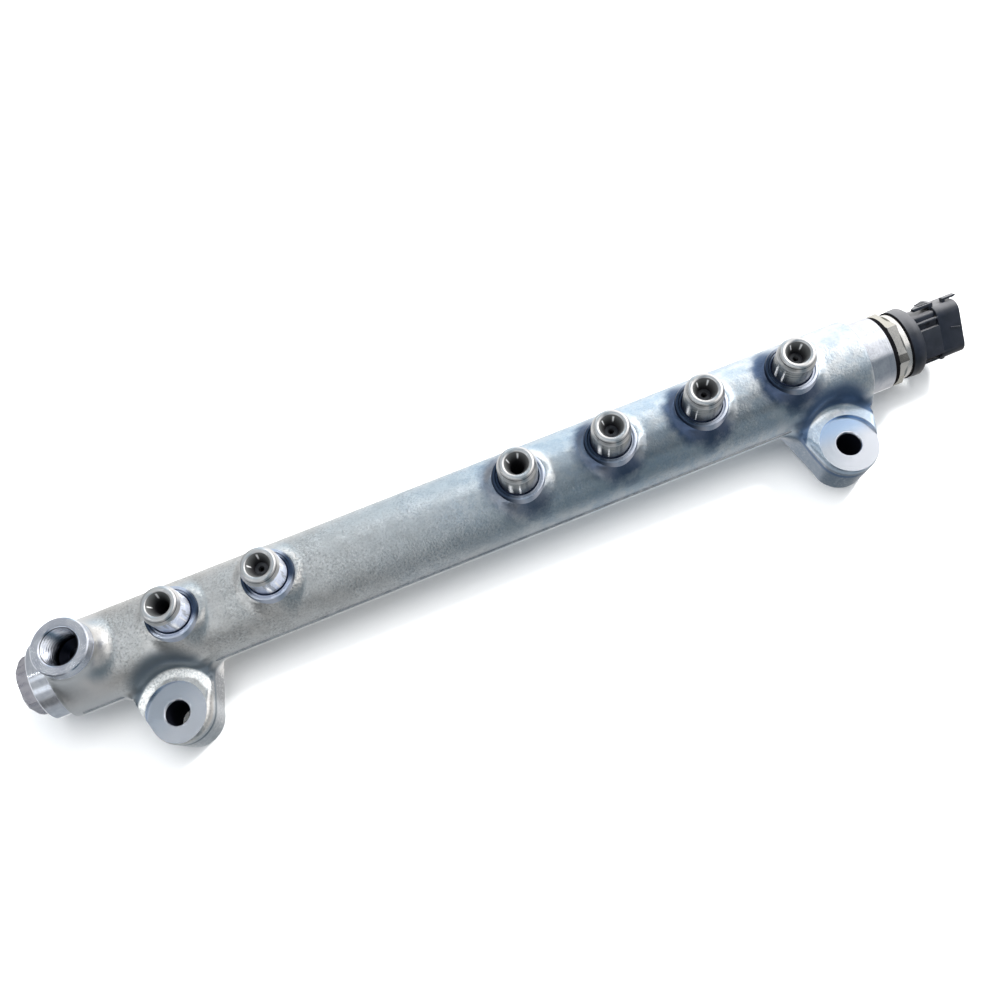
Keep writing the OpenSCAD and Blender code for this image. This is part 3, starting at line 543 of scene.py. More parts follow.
def nozzle_marks(f, x, y, z, reach, tone):
    """Tones of a nozzle's shank, collar and mouth; the painted highlight streaks' angles drift along the
    rail.
    """
    place_x = f.axes(f.place())[0]
    turn = f.math("ARCTAN2", y, x) * (180 / math.pi)
    tone, matt = shank_marks(f, x, y, z, reach, turn, place_x, tone)
    tone = collar_marks(f, x / reach, z, reach, place_x, tone)
    return mouth_marks(f, z, reach, turn, place_x, tone, matt)


def bare_steel(name, low, high, gloss):
    """Steel or brass with a slight cloud in its tone and gloss."""
    f = Finish(name)
    place = f.place()
    cloud = f.noise(place, 480.0, 3.0)
    fine = f.noise(place, 2600.0, 2.0)
    tone = f.mix(f.step(cloud, 0.35, 0.65), low, high)
    normal = f.bump(fine, 0.00005, 0.4)
    shine = f.span(cloud, 0.3, 0.7, gloss, gloss + 0.1)
    return f.surface({"Base Color": tone, "Metallic": 1.0, "Roughness": shine, "Normal": normal})


def sensor_steel():
    """Nickel-grey steel. The hexagon's faces have greys of their own by the angle round the rail, a painted
    shading, with a painted shade at one end of the middle faces."""
    f = Finish("sensor_steel")
    place = f.place()
    x, y, z = f.axes(place)
    across, up = y - BOLT_Y * MM, z + FOOT_Z * MM
    turn = f.math("ARCTAN2", up, across) * (180 / math.pi)
    reach = (across * across + up * up) ** 0.5
    cloud = f.noise(place, 480.0, 3.0)
    fine = f.noise(place, 2600.0, 2.0)
    on_hexagon = 1 - f.step(x, 0.16009, 0.16014)
    tone = f.mix(f.step(cloud, 0.35, 0.65), (0.76, 0.75, 0.73, 1), (0.81, 0.80, 0.78, 1))
    # Painted shading: each of the hexagon's faces its own grey, by the angle round the rail.
    middle = f.step(turn, 80.0, 81.0) * (1 - f.step(turn, 140.0, 141.0))
    lower = f.step(turn, 140.0, 141.0)
    upper = 1 - f.step(turn, 80.0, 81.0)
    tone = f.mix(on_hexagon * upper, tone, (0.56, 0.55, 0.50, 1))
    tone = f.mix(on_hexagon * middle, tone, (0.38, 0.38, 0.37, 1))
    # Painted shade at one end of the middle faces.
    painted_dark_end = middle * f.step(turn + (cloud - 0.5) * 2, 128.0, 129.5)
    tone = f.mix(on_hexagon * painted_dark_end, tone, (0.13, 0.13, 0.125, 1))
    tone = f.mix(on_hexagon * lower, tone, (0.62, 0.62, 0.60, 1))
    normal = f.bump(fine, 0.00005, 0.4)
    shine = f.span(cloud, 0.3, 0.7, 0.20, 0.30)
    return f.surface({"Base Color": tone, "Metallic": 1.0, "Roughness": shine, "Normal": normal})


def moulded(name, low, high, gloss, grain_size, relief, specular=0.5):
    """Moulded plastic or rubber with a fine grain."""
    f = Finish(name)
    place = f.place()
    cloud = f.noise(place, 120.0, 3.0)
    grain = f.noise(place, grain_size, 2.0)
    tone = f.mix(f.step(cloud, 0.3, 0.7), low, high)
    normal = f.bump(grain, relief, 0.6)
    shine = f.span(grain, 0.3, 0.7, gloss, gloss + 0.12)
    dull = {"Base Color": tone, "Roughness": shine, "Specular IOR Level": specular}
    return f.surface({**dull, "Normal": normal})


def black_plastic():
    """Glass-filled black plastic, with painted light greying the sides that face up and back."""
    f = Finish("black_plastic")
    place = f.place()
    cloud = f.noise(place, 260.0, 3.0)
    grain = f.noise(place, 1800.0, 2.0)
    facing = f.add("VectorMath", {"operation": "DOT_PRODUCT"},
                   {0: f.add("NewGeometry", output="Normal"), 1: (0.0, 0.8, 0.6)}, output=1)
    # Painted light: the sides that face up and back greyed.
    painted_light_share = f.step(facing + (cloud - 0.5) * 0.2, 0.25, 1.05)
    deep = f.mix(f.step(cloud, 0.3, 0.7), (0.008, 0.011, 0.017, 1), (0.013, 0.016, 0.025, 1))
    tone = f.mix(painted_light_share, deep, (0.135, 0.135, 0.142, 1))
    normal = f.bump(grain, 0.00005, 0.6)
    shine = f.span(grain, 0.3, 0.7, 0.30, 0.42)
    return f.surface({"Base Color": tone, "Roughness": shine, "Normal": normal})


FORGED = forged_zinc()
FLASH = bare_steel("trimmed_flash", (0.34, 0.36, 0.39, 1), (0.52, 0.54, 0.56, 1), 0.40)
TURNED = turned_zinc("turned_zinc", ((0.64, 0.67, 0.75, 1), (0.76, 0.79, 0.86, 1)), 0.20, holes_and_faces)
SHANK = turned_zinc("nozzle_zinc", ((0.70, 0.70, 0.70, 1), (0.78, 0.77, 0.76, 1)), 0.28, nozzle_marks)
NECK = turned_zinc("neck_zinc", ((0.66, 0.69, 0.76, 1), (0.76, 0.79, 0.85, 1)), 0.09, plain_turned)
HEX_STEEL = sensor_steel()
VALVE_STEEL = bare_steel("valve_steel", (0.46, 0.45, 0.50, 1), (0.58, 0.56, 0.60, 1), 0.24)
INNER_STEEL = bare_steel("inner_steel", (0.42, 0.42, 0.43, 1), (0.55, 0.55, 0.56, 1), 0.30)
RUBBER = moulded("seal_rubber", (0.003, 0.003, 0.004, 1), (0.007, 0.007, 0.008, 1), 0.6, 1500.0, 0.00006,
                 specular=0.03)
PLASTIC = black_plastic()
DARK_STEEL = bare_steel("drilled_steel", (0.06, 0.06, 0.065, 1), (0.10, 0.10, 0.105, 1), 0.35)
BOARD = moulded("circuit_board", (0.02, 0.10, 0.04, 1), (0.03, 0.16, 0.06, 1), 0.35, 900.0, 0.00004)
CARRIER = moulded("carrier_plastic", (0.60, 0.56, 0.44, 1), (0.70, 0.66, 0.54, 1), 0.4, 900.0, 0.00004)
BRASS = bare_steel("terminal_brass", (0.72, 0.52, 0.22, 1), (0.82, 0.62, 0.30, 1), 0.22)


# Mesh helpers.
def lathe(profile, centre=(0, 0, 0), axis="Z", segments=72, ring=False, finish=0):
    """Spins (radius, height) points about an axis into a closed solid; a ring's profile closes on itself."""
    along = Vector((0, 0, 1)) if axis == "Z" else Vector((1, 0, 0))
    out = Vector((1, 0, 0)) if axis == "Z" else Vector((0, 0, 1))
    bm = bmesh.new()
    verts = [bm.verts.new(Vector(centre) + out * r + along * h) for r, h in profile]
    edges = [bm.edges.new(pair) for pair in zip(verts, verts[1:])]
    if ring:
        edges.append(bm.edges.new((verts[-1], verts[0])))
    bmesh.ops.spin(bm, geom=verts + edges, cent=centre, axis=along, angle=2 * math.pi,
                   steps=segments, use_merge=True)
    bmesh.ops.remove_doubles(bm, verts=bm.verts, dist=0.0005)
    bmesh.ops.recalc_face_normals(bm, faces=bm.faces)
    for face in bm.faces:
        face.material_index = finish
    return bm


def joined(*parts):
    """Several solids in one mesh, each left whole."""
    whole = bmesh.new()
    for part in parts:
        mesh = bpy.data.meshes.new("part")
        part.to_mesh(mesh)
        part.free()
        whole.from_mesh(mesh)
        bpy.data.meshes.remove(mesh)
    return whole


def round_off(bm, edges, offset, segments):
    bmesh.ops.bevel(bm, geom=edges, offset=offset, segments=segments, affect="EDGES",
                    profile=0.5, material=-1)


def block(low, high, edge=0.0, segments=2):
    """A box between two corners with rounded edges."""
    bm = bmesh.new()
    size = [b - a for a, b in zip(low, high)]
    middle = [(a + b) / 2 for a, b in zip(low, high)]
    bmesh.ops.create_cube(bm, size=1.0, matrix=Matrix.Translation(middle) @ Matrix.Diagonal((*size, 1)))
    if edge:
        round_off(bm, bm.edges[:], edge, segments)
    return bm


def as_object(bm, finishes):
    """A working object for a modifier, in millimetres."""
    mesh = bpy.data.meshes.new("work")
    bm.to_mesh(mesh)
    bm.free()
    for finish in finishes:
        mesh.materials.append(finish)
    thing = bpy.data.objects.new("work", mesh)
    scene.collection.objects.link(thing)
    return thing


def applied(thing):
    """The mesh that an object's modifiers give; the object itself goes."""
    view = bpy.context.evaluated_depsgraph_get()
    view.update()
    mesh = bpy.data.meshes.new_from_object(thing.evaluated_get(view))
    bm = bmesh.new()
    bm.from_mesh(mesh)
    bpy.data.meshes.remove(mesh)
    old = thing.data
    bpy.data.objects.remove(thing)
    bpy.data.meshes.remove(old)
    return bm


def cut(solid, tool, finishes, operation="DIFFERENCE"):
    """One shape cut by another, or joined with it, where every face keeps its finish."""
    target = as_object(solid, finishes)
    cutter = as_object(tool, finishes)
    change = target.modifiers.new("cut", "BOOLEAN")
    change.object = cutter
    change.operation = operation
    change.solver = "EXACT"
    change.material_mode = "TRANSFER"
    bm = applied(target)
    old = cutter.data
    bpy.data.objects.remove(cutter)
    bpy.data.meshes.remove(old)
    return bm


def note_vector(mesh, name, worked_out):
    """Keeps a vector for every vertex, worked out from its place in millimetres, for a finish to read."""
    places = np.empty(len(mesh.vertices) * 3, np.float32)
    mesh.vertices.foreach_get("co", places)
    vectors = worked_out(places.reshape(-1, 3)).astype(np.float32)
    layer = mesh.attributes.new(name, "FLOAT_VECTOR", "POINT")
    layer.data.foreach_set("vector", vectors.ravel())


def finished(name, bm, finishes, replaces=(), axis_of=None, sharp=35, body="rail"):
    """Puts a millimetre shape in the row frame as a piece that rides with the rail."""
    mesh = bpy.data.meshes.new(name)
    bm.to_mesh(mesh)
    bm.free()
    if axis_of is not None:
        note_vector(mesh, "turned", axis_of)
    if FORGED in finishes:
        note_vector(mesh, "zones", forging_zones)
    mesh.transform(TO_ROW)
    for finish in finishes:
        mesh.materials.append(finish)
    mesh.shade_smooth()
    mesh.set_sharp_from_angle(angle=math.radians(sharp))
    piece = bpy.data.objects.new(name, mesh)
    scene.collection.objects.link(piece)
    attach(piece, body)
    if replaces:
        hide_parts(*replaces)
    return piece


def about_z(x, y):
    """Places about an upright turning axis."""
    return lambda p: p - np.array((x, y, 0.0))


def about_x(p):
    """Places about the tube's axis."""
    return np.stack((p[:, 1], p[:, 2], p[:, 0]), axis=1)


# The forging.
# Blends between two distances with a radius: round_max keeps what both hold, round_min joins them.
def round_max(a, b, r):
    return np.minimum(-r, np.maximum(a, b)) + np.hypot(np.maximum(r + a, 0), np.maximum(r + b, 0))


def round_min(a, b, r):
    return np.maximum(r, np.minimum(a, b)) - np.hypot(np.maximum(r - a, 0), np.maximum(r - b, 0))


def lug_distance(u, v, z):
    """Distance to a forged lug, about the middle of its nose, with v towards the tube."""
    radius = NOSE_R - (LUG_TOP - z) * LUG_DRAFT
    u = np.abs(u)
    nose = np.hypot(u, v) - radius
    wall = u * math.cos(LUG_FLARE) - v * math.sin(LUG_FLARE) - radius
    past_nose = u * math.sin(LUG_FLARE) + v * math.cos(LUG_FLARE) > 0
    plan = np.where(past_nose, wall, nose)
    web = round_max(plan, WEB_UNDER - z, 0.6)
    back = (v - WEB_HEEL) * WEB_SLOPE[0] - (z - WEB_UNDER) * WEB_SLOPE[1]
    web = round_max(web, back / 8.06, 1.0)
    web = np.maximum(web, v - WEB_REACH)
    foot = np.maximum(nose, BLANK_LOW - z)
    edge = 0.9 + 2.1 / (1 + np.exp(v / 2 - 1))
    return round_max(np.minimum(web, foot), z - LUG_TOP, edge)


def forging_distance(p):
    """Distance of each point to the forging's surface, negative inside: a tube with room for the bolt heads,
    two lugs, the return boss and six nozzle feet."""
    x, y, z = p[:, 0], p[:, 1], p[:, 2]
    body = np.hypot(y, z) - TUBE_R
    for side in (-1, 1):
        u, v = x - side * BOLT_X - LUG_SHIFT[side], y + BOLT_Y
        head_room = round_max(np.hypot(u, v) - HEAD_ROOM_R, HEAD_ROOM_Z - z, 1.0)
        body = round_max(body, -head_room, HEAD_ROOM_BLEND)
    for side in (-1, 1):
        u, v = x - side * BOLT_X - LUG_SHIFT[side], y + BOLT_Y
        fillet = 3.0 + 2.0 / (1 + np.exp((z + 2.5) * 2.0))
        body = round_min(body, lug_distance(u, v, z), fillet)
    boss = round_max(np.hypot(x - RETURN_X, y) - RETURN_R - 0.05, np.abs(z - 15.0) - 12.0, 0.5)
    body = round_min(body, boss, BOSS_BLEND)
    for port in PORTS:
        reach = np.hypot(x - port, y) - COLLAR_R - (COLLAR_EDGE_Z - z) * COLLAR_SPREAD
        foot = round_max(reach * COLLAR_SLANT + 0.3, np.abs(z - 11.0) - 5.1, 0.5)
        body = round_min(body, foot, FOOT_BLEND)
        turned = np.maximum(reach * COLLAR_SLANT - 0.1, 16.6 - z)
        body = round_max(body, -turned, 0.2)
    ends = np.maximum(TUBE_LEFT - x, x - TUBE_RIGHT)
    return round_max(body, ends, TUBE_EDGE)


def onto_surface(p, rounds):
    """Moves points onto the forging's surface by Newton steps along the distance's slope."""
    step = 0.02
    for _ in range(rounds):
        here = forging_distance(p)
        slope = np.empty_like(p)
        for axis in range(3):
            shift = np.zeros(3)
            shift[axis] = step
            slope[:, axis] = (forging_distance(p + shift) - forging_distance(p - shift)) / (2 * step)
        size = np.maximum((slope ** 2).sum(axis=1), 0.2)
        move = np.clip(here / size, -1.2, 1.2)
        p = p - slope * move[:, None]
    return p


def forging_blank():
    """Overlapping bars and blocks with the rough shape of the forging."""
    bars = [lathe([(0, TUBE_LEFT), (TUBE_R, TUBE_LEFT), (TUBE_R, TUBE_RIGHT), (0, TUBE_RIGHT)], axis="X")]
    for side in (-1, 1):
        middle = side * BOLT_X + LUG_SHIFT[side]
        low_r = NOSE_R - (LUG_TOP - BLANK_LOW) * LUG_DRAFT
        nose = [(0, BLANK_LOW), (low_r, BLANK_LOW), (NOSE_R, LUG_TOP), (0, LUG_TOP)]
        bars.append(lathe(nose, (middle, -BOLT_Y, 0)))
        web_back = WEB_HEEL - BOLT_Y
        bars.append(block((middle - 12.5, -BOLT_Y, WEB_UNDER), (middle + 12.5, web_back, LUG_TOP)))
        bars.append(block((middle - 15, -14, -15), (middle + 15, -5, LUG_TOP)))
    boss = [(0, 5), (14, 5), (RETURN_R, 20), (RETURN_R, RETURN_TOP + 1.1), (0, RETURN_TOP + 1.1)]
    bars.append(lathe(boss, (RETURN_X, 0, 0)))
    for port in PORTS:
        bars.append(lathe([(0, 5), (12.5, 8), (COLLAR_R, 17), (0, 17)], (port, 0, 0)))
    return joined(*bars)


def near_neighbours(bm):
    """Both ways round, the two vertices of every edge."""
    pairs = np.array([(e.verts[0].index, e.verts[1].index) for e in bm.edges])
    return np.concatenate((pairs, pairs[:, ::-1]))


def relaxed(p, pairs, share):
    """Each point moved part of the way to the mean of its neighbours."""
    count = np.bincount(pairs[:, 0], minlength=len(p))
    mean = np.stack([np.bincount(pairs[:, 0], weights=p[pairs[:, 1], k], minlength=len(p))
                     for k in range(3)], axis=1) / count[:, None]
    return p + (mean - p) * share


VOXEL = 0.85
SURFACE_ROUNDS = 6


def forged_shape():
    """The blank as an even skin, brought onto the forging's surface and evened out in turns."""
    thing = as_object(forging_blank(), [FORGED, TURNED])
    skin = thing.modifiers.new("skin", "REMESH")
    skin.mode = "VOXEL"
    skin.voxel_size = VOXEL
    bm = applied(thing)
    bm.verts.ensure_lookup_table()
    pairs = near_neighbours(bm)
    p = np.array([v.co for v in bm.verts], float)
    p = onto_surface(p, SURFACE_ROUNDS)
    for _ in range(SURFACE_ROUNDS):
        p = onto_surface(relaxed(p, pairs, 0.5), 2)
    for vert, place in zip(bm.verts, p):
        vert.co = place
    for face in bm.faces:
        face.material_index = 0
    return bm


def machining():
    """The cutters that turn, face and bore the forging, each a closed solid clear of the others."""
    tools = []
    for side in (-1, 1):
        tools.append(lathe([
            (0, -30), (30, -30), (30, FOOT_Z), (HOLE_R + 0.4, FOOT_Z), (HOLE_R, FOOT_Z + 0.4),
            (HOLE_R, SPOT_Z - 0.3), (HOLE_R + 0.3, SPOT_Z), (SPOT_R, SPOT_Z), (SPOT_R, 12), (0, 12),
        ], (side * BOLT_X, -BOLT_Y, 0), segments=96, finish=1))
    tools.append(lathe([
        (0, 4), (3, 4), (3, 11.3), (6.9, 12.9), (6.9, RETURN_TOP - 0.25), (7.15, RETURN_TOP),
        (RETURN_R - 0.4, RETURN_TOP), (RETURN_R, RETURN_TOP - 0.4), (RETURN_R, RETURN_SHOULDER),
        (24, RETURN_SHOULDER), (24, 34), (0, 34),
    ], (RETURN_X, 0, 0), segments=96, finish=1))
    return joined(*tools)


def boring():
    """The cutter of the long bore, with the room for valve and sensor."""
    return lathe([
        (0, -172), (9.5, -172), (9.5, -158.7), (8.1, -158.7), (8.1, -143), (MAIN_BORE_R, -143),
        (MAIN_BORE_R, 138), (7.1, 138), (7.1, 140.5), (9.5, 140.5), (9.5, 156), (0, 156),
    ], axis="X", segments=64, finish=1)


def drilling():
    """The cutters of the holes from the long bore up to the nozzles."""
    hole = [(0, 2), (DRILLING_R, 2), (DRILLING_R, 20), (0, 20)]
    return joined(*[lathe(hole, (port, 0, 0), segments=32, finish=1) for port in PORTS])


def forging_axes(p):
    """Nearest turning axis of each point of the forging."""
    turned = p - np.array((RETURN_X, 0.0, 0.0))
    for side in (-1, 1):
        near = (np.abs(p[:, 0] - side * BOLT_X) < 20) & (p[:, 1] < -8)
        turned[near] = p[near] - np.array((side * BOLT_X, -BOLT_Y, 0.0))
    return turned


def forging_zones(p):
    """Distances to the axes of the nearest nozzle and the nearest lug, larger below their tops, and the side
    of the nozzle, 1 at its lower left and -1 at its upper right."""
    reach = np.array([np.hypot(p[:, 0] - port, p[:, 1]) for port in PORTS])
    nearest = reach.argmin(axis=0)
    to_nozzle = reach.min(axis=0)
    side = (-0.88 * (p[:, 0] - np.array(PORTS)[nearest]) - 0.48 * p[:, 1]) / np.maximum(to_nozzle, 1.0)
    to_nozzle = to_nozzle + np.maximum(6.0 - p[:, 2], 0) * 4
    lugs = [end * BOLT_X + LUG_SHIFT[end] for end in (-1, 1)]
    to_lug = np.min([np.hypot(p[:, 0] - lug, p[:, 1] + BOLT_Y) for lug in lugs], axis=0)
    to_lug = to_lug + np.maximum(HEAD_ROOM_Z - p[:, 2], 0) * 2
    return np.stack((to_nozzle, to_lug, side), axis=1)


def make_forging():
    """The forging, bored, drilled and turned."""
    skins = [FORGED, TURNED]
    bm = forged_shape()
    for tool in (boring(), drilling(), machining()):
        bm = cut(bm, tool, skins)
    finished("rail_forging", bm, skins, ["rail_body"], forging_axes)


# Nozzles.
def threaded(bm, axis, centre, radius, depth, pitch, start, end, fade):
    """Moves the vertices of a plain cylinder into a thread, which runs out over the fade length at its
    start."""
    for vert in bm.verts:
        place = vert.co - Vector(centre)
        across = Vector((place.x, place.y)) if axis == "Z" else Vector((place.y, place.z))
        height = place.z if axis == "Z" else place.x
        if abs(across.length - radius) > 0.01 or not start - 0.01 <= height <= end + 0.01:
            continue
        turn = math.atan2(across.y, across.x) / (2 * math.pi)
        phase = (height / pitch - turn) % 1.0
        groove = min(1.0, max(0.0, 1.25 * (1 - abs(2 * phase - 1)) - 0.125))
        share = min(1.0, (height - start) / fade) * min(1.0, (end - height) / (0.25 * pitch) + 0.4)
        new = radius - depth * groove * max(0.0, share)
        across = across * (new / across.length)
        place = Vector((across.x, across.y, height)) if axis == "Z" else Vector((height, across.x, across.y))
        vert.co = Vector(centre) + place


def nozzle(index, port):
    """A turned pipe nozzle: mouth, head, thread, root groove, collar and the cone inside the foot."""
    step = (THREAD_LOW - THREAD_HIGH) / THREAD_RINGS
    mouth = [(4.17, 28.40), (4.34, 28.72), (4.62, 28.88)]
    head = [(5.3, 28.94), (5.8, 28.84), (6.12, 28.6), (6.27, 28.25), (6.2, 28.0), (6.28, 27.85),
            (6.55, 27.4), (6.8, 26.95), (6.95, 26.6)]
    thread = [(NOZZLE_R, THREAD_HIGH + step * i) for i in range(THREAD_RINGS + 1)]
    root = [(NOZZLE_R, 17.5), (7.3, 17.2), (8.0, 17.2), (8.3, 17.7)]
    collar = [(8.95, 17.7), (9.2, 17.6), (COLLAR_R, COLLAR_EDGE_Z), (12.19, 8.0)]
    plain = [(NOZZLE_BORE_R, 8.0)]
    throttled = [(1.5, 8.0), (1.5, 18.9), (NOZZLE_BORE_R, 18.9)]
    bore = (plain if port in PLAIN_PORTS else throttled) + [(NOZZLE_BORE_R, 24.5)]
    bm = lathe(mouth + head + thread + root + collar + bore, (port, 0, 0), ring=True)
    threaded(bm, "Z", (port, 0, 0), NOZZLE_R, THREAD_DEPTH, THREAD_PITCH, THREAD_LOW, THREAD_HIGH,
             THREAD_FADE)
    finished(f"nozzle_{index}", bm, [SHANK], axis_of=about_z(port, 0))


# Turned necks, return thread and parting line.
def make_necks():
    """The bright turned ends of the tube, under the valve's head and under the sensor."""
    left = lathe([
        (9.2, -169.8), (13.55, -169.8), (14.05, -169.3), (14.05, -158.5), (8.6, -158.5), (8.6, -167.6),
        (9.2, -167.6),
    ], axis="X", segments=96, ring=True)
    finished("neck_left", left, [NECK], axis_of=about_x)
    right = lathe([
        (8.6, 154.9), (13.4, 154.9), (13.9, 154.4), (13.9, 140.8), (8.6, 140.8),
    ], axis="X", segments=96, ring=True)
    finished("neck_right", right, [NECK], axis_of=about_x)


def make_return_thread():
    """The thread in the return port, a sleeve that lines its bore."""
    rings, inner, depth, fade = 64, 6.2, 0.75, 1.0
    low, high = 13.2, 25.45
    wall = [(inner, low + (high - low) * i / rings) for i in range(rings + 1)]
    sleeve = [(6.9, RETURN_TOP - 0.1), (7.1, RETURN_TOP - 0.35), (7.1, 12.7), (inner, 12.7)]
    bm = lathe(wall + sleeve, (RETURN_X, 0, 0), ring=True)
    threaded(bm, "Z", (RETURN_X, 0, 0), inner, -depth, THREAD_PITCH, low, high, fade)
    finished("return_thread", bm, [TURNED], axis_of=about_z(RETURN_X, 0))


def make_parting_line():
    """The trimmed flash along both sides of the tube, broken where the lugs are."""
    low, high = -0.35, 0.75
    for name, side, spans in (
        ("parting_line_front", -1, ((-159.5, -139.4), (-116.8, 117.5), (139.3, 141.5))),
        ("parting_line_back", 1, ((-159.5, 141.5),)),
    ):
        strips = []
        for start, end in spans:
            near, far = sorted((side * (TUBE_R - 1.0), side * (TUBE_R + 0.3)))
            strips.append(block((start, near, low), (end, far, high), 0.12))
        finished(name, joined(*strips), [FLASH])


# Pressure sensor.
SENSOR_X = 154.9
HEX_ROUND_R = 12.0 / math.cos(math.radians(30))
HEX_TURN = math.radians(20.6)
STEEL_R = 12.43
CUP_END = 10.1
TO_SENSOR = Matrix.Translation((SENSOR_X, 0, 0))
TO_CONNECTOR = TO_SENSOR @ Matrix.Rotation(math.radians(42), 4, "X")
Z_TO_X = Matrix(((0, 0, 1, 0), (1, 0, 0, 0), (0, 1, 0, 0), (0, 0, 0, 1)))


def hexagon(start, end, corner_r, turn, edge):
    """A hexagonal prism along X with one corner at the given turn from +Y."""
    bm = bmesh.new()
    bmesh.ops.create_cone(bm, cap_ends=True, segments=6, radius1=corner_r, radius2=corner_r,
                          depth=end - start)
    bm.verts.ensure_lookup_table()
    first = math.atan2(bm.verts[0].co.y, bm.verts[0].co.x)
    bmesh.ops.rotate(bm, verts=bm.verts, cent=(0, 0, 0), matrix=Matrix.Rotation(turn - first, 3, "Z"))
    bmesh.ops.transform(bm, verts=bm.verts, matrix=Matrix.Translation(((start + end) / 2, 0, 0)) @ Z_TO_X)
    round_off(bm, bm.edges[:], edge, 2)
    return bm


def along_sensor(profile, segments=96, ring=False):
    """Spins (radius, place along the sensor) points about the rail's axis."""
    return lathe([(r, SENSOR_X + t) for r, t in profile], axis="X", segments=segments, ring=ring)


def make_sensor_body():
    """The sensor's steel: shank (its thread not cut), hexagon and collar, with the room for its board and a
    groove.
    """
    steel = [HEX_STEEL]
    body = along_sensor([
        (0, -16.9), (6.2, -16.9), (6.5, -16.6), (6.5, -12.9), (8.3, -12.4), (8.3, -1.9), (7.6, -1.7),
        (7.6, 1.7), (10, 1.7), (10, 5.0), (STEEL_R, 5.0), (STEEL_R, CUP_END - 0.2),
        (STEEL_R - 0.2, CUP_END), (0, CUP_END),
    ])
    nut = hexagon(SENSOR_X + 1.42, SENSOR_X + 5.2, HEX_ROUND_R, HEX_TURN, 0.14)
    body = cut(body, nut, steel, "UNION")
    room = along_sensor([
        (0, -18), (1.3, -18), (1.3, 2.1), (9.0, 2.1), (9.0, 5.5), (9.8, 5.5), (9.8, 11), (0, 11),
    ], 64)
    body = cut(body, room, steel)
    groove = along_sensor([(13, 7.8), (13, 9.0), (11.33, 9.0), (11.33, 7.8)], ring=True)
    body = cut(body, groove, steel)
    finished("sensor_steel", body, steel, ["sensor_body"], sharp=15)


# Connector, along X from the sensor's seat.
SHELL_START, SHELL_END = 22.4, 31.4
SHELL_Y, SHELL_Z, SHELL_R, SHELL_WALL = 10.25, 6.6, 4.0, 1.5
SOCKET_FLOOR = 18.4
PIN_PITCH = 5.0


def edges_along_x(bm):
    """The long edges of a bar along X."""
    return [e for e in bm.edges if abs(e.verts[0].co.x - e.verts[1].co.x) > 1e-4]


def rounded_tube(start, end, half_y, half_z, corner, edge=0.0):
    """A bar along X with round long corners and, if wanted, broken end edges."""
    bm = block((start, -half_y, -half_z), (end, half_y, half_z))
    round_off(bm, edges_along_x(bm), corner, 8)
    if edge:
        along = set(edges_along_x(bm))
        rims = [e for e in bm.edges if e not in along and sum(len(face.verts) for face in e.link_faces) > 8]
        round_off(bm, rims, edge, 3)
    return bm


def tapered_arm(start, end, y_low, y_high, z_far_start, z_far_end, z_near):
    """A flat arm whose far side spreads from its free end to the shell."""
    bm = block((start, y_low, z_far_end), (end, y_high, z_near))
    for vert in bm.verts:
        if vert.co.x < start + 0.01 and vert.co.z < z_near - 0.01:
            vert.co.z = z_far_start
    round_off(bm, bm.edges[:], 0.22, 2)
    return bm


def connector_parts():
    """The moulded parts that join the collar: neck, ribs, shell, side arms, teeth and latch bar."""
    pad_low, pad_high, shoulder_y = -7.35, 3.75, 9.15
    yield block((12.2, pad_low, -SHELL_Z), (SHELL_START + 0.6, pad_high, SHELL_Z), 0.3)
    yield block((12.2, pad_low + 0.4, -5.0), (SHELL_START + 0.6, shoulder_y, 5.0), 1.1, 4)
    yield block((12.2, 6.25, -SHELL_Z + 0.2), (SHELL_START + 0.3, 6.95, SHELL_Z - 0.1), 0.15)
    yield rounded_tube(SHELL_START, SHELL_END, SHELL_Y, SHELL_Z, SHELL_R, 0.4)
    yield tapered_arm(15.4, SHELL_START + 0.9, 10.75, 11.9, 1.6, -3.0, 3.4)
    yield block((SHELL_START - 0.8, 9.6, -2.9), (SHELL_START + 0.9, 11.8, 3.3), 0.25)
    for tooth in range(4):
        place = 18.2 + 1.05 * tooth
        yield block((place, 11.6, -0.6 - 0.5 * tooth), (place + 0.5, 12.15, 2.7), 0.12)
    yield block((12.2, -10.35, -2.4), (SHELL_START + 1.0, -9.35, 3.3), 0.22)
    yield block((SHELL_START + 0.5, -11.0, -2.2), (SHELL_START + 2.2, -9.6, 3.1), 0.3)
    latch_low, latch_high, latch_far, latch_near = 10.95, 11.85, 1.0, 3.5
    yield block((27.3, latch_low, latch_far), (32.55, latch_high, latch_near), 0.25)
    yield block((27.3, 9.6, latch_far), (28.3, latch_high - 0.1, latch_near - 0.2), 0.2)
    yield block((31.6, latch_low - 0.4, latch_far), (32.55, latch_high - 0.1, latch_near), 0.25)
    mark = block((26.6, -0.25, SHELL_Z - 0.3), (30.6, 0.25, SHELL_Z + 0.25), 0.15)
    slant = Matrix.Rotation(math.radians(-15), 3, "Z")
    bmesh.ops.rotate(mark, verts=mark.verts, cent=(28.6, 0, 0), matrix=slant)
    bmesh.ops.translate(mark, verts=mark.verts, vec=(0, 0.75, 0))
    yield mark


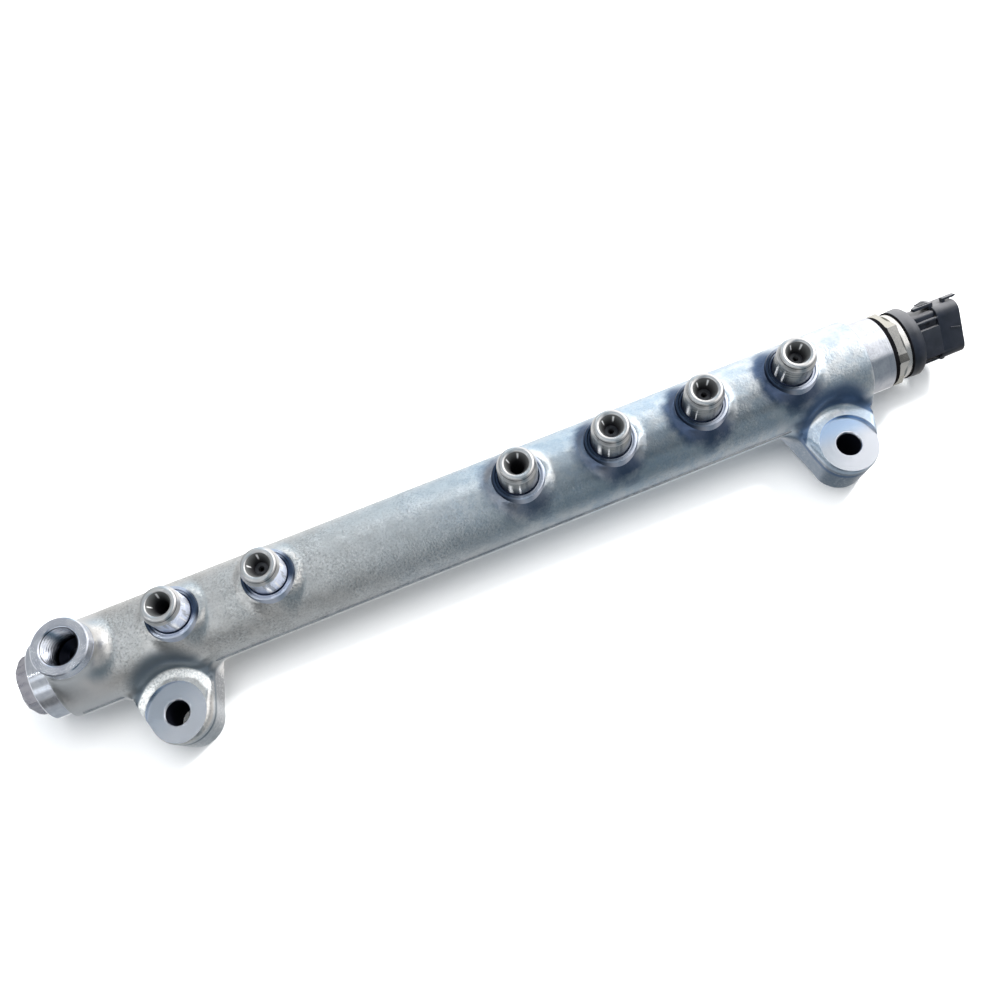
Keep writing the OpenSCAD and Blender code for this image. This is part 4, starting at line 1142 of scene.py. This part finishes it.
def make_connector():
    """The plastic collar with its connector, the open socket and the slots of the three terminals."""
    plastic = [PLASTIC]
    body = lathe([
        (0, CUP_END + 0.05), (12.5, CUP_END + 0.05), (12.5, 7.75), (12.66, 7.7), (12.85, 7.9), (13.1, 9.6),
        (13.15, 11.7), (13.0, 11.95), (12.62, 12.0), (12.55, 12.5), (12.35, 12.7), (0, 12.7),
    ], axis="X", segments=96)
    for part in connector_parts():
        body = cut(body, part, plastic, "UNION")
    inner_y, inner_z, inner_r = SHELL_Y - SHELL_WALL, SHELL_Z - SHELL_WALL, SHELL_R - SHELL_WALL
    body = cut(body, rounded_tube(SOCKET_FLOOR, SHELL_END + 2, inner_y, inner_z, inner_r), plastic)
    slots = []
    for middle in (-PIN_PITCH, 0, PIN_PITCH):
        low, high = (CUP_END - 1, middle - 0.77, -0.34), (SOCKET_FLOOR + 1, middle + 0.77, 0.34)
        slots.append(block(low, high))
    body = cut(body, joined(*slots), plastic)
    bmesh.ops.transform(body, verts=body.verts, matrix=TO_CONNECTOR)
    finished("connector", body, plastic, ["connector_housing"])
    # Painted shade: a black ring that fills the gap between the steel collar and the plastic collar, where
    # there is only the gap's shadow.
    gap_shade_ring = along_sensor([(12.48, 7.2), (12.8, 7.2), (12.9, 7.3), (12.9, 7.68), (12.48, 7.68)], ring=True)
    finished("cover_gap", gap_shade_ring, [RUBBER])


def make_spring():
    """The valve's spring, a merged copy of its solid."""
    bm = bmesh.new()
    bm.from_mesh(nodes["valve_spring"].data)
    bmesh.ops.remove_doubles(bm, verts=bm.verts, dist=1e-6)
    mesh = bpy.data.meshes.new("spring")
    bm.to_mesh(mesh)
    bm.free()
    mesh.materials.append(INNER_STEEL)
    mesh.shade_smooth()
    mesh.set_sharp_from_angle(angle=math.radians(35))
    spring = bpy.data.objects.new("spring", mesh)
    scene.collection.objects.link(spring)
    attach(spring, "rail")
    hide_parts("valve_spring")
    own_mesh(spring)


make_forging()
make_spring()
make_sensor_body()
make_connector()
for count, port in enumerate(PORTS):
    nozzle(count + 1, port)
make_necks()
make_return_thread()
make_parting_line()

# Finishes of the kept solids.
KEPT = {
    VALVE_STEEL: ["valve_housing"],
    INNER_STEEL: ["valve_seat", "valve_piston", "valve_shim", "valve_stop", "measuring_cell"],
    RUBBER: ["valve_seal_ring", "sensor_seal_ring", "cover_seal_ring"],
    BOARD: ["circuit_board"],
    CARRIER: ["contact_carrier"],
    BRASS: ["terminal_1", "terminal_2", "terminal_3"],
    DARK_STEEL: ["throttle_1", "throttle_2", "throttle_3", "throttle_4"],
}
for finish, names in KEPT.items():
    for name in names:
        mesh = nodes[name].data
        mesh.materials.clear()
        mesh.materials.append(finish)
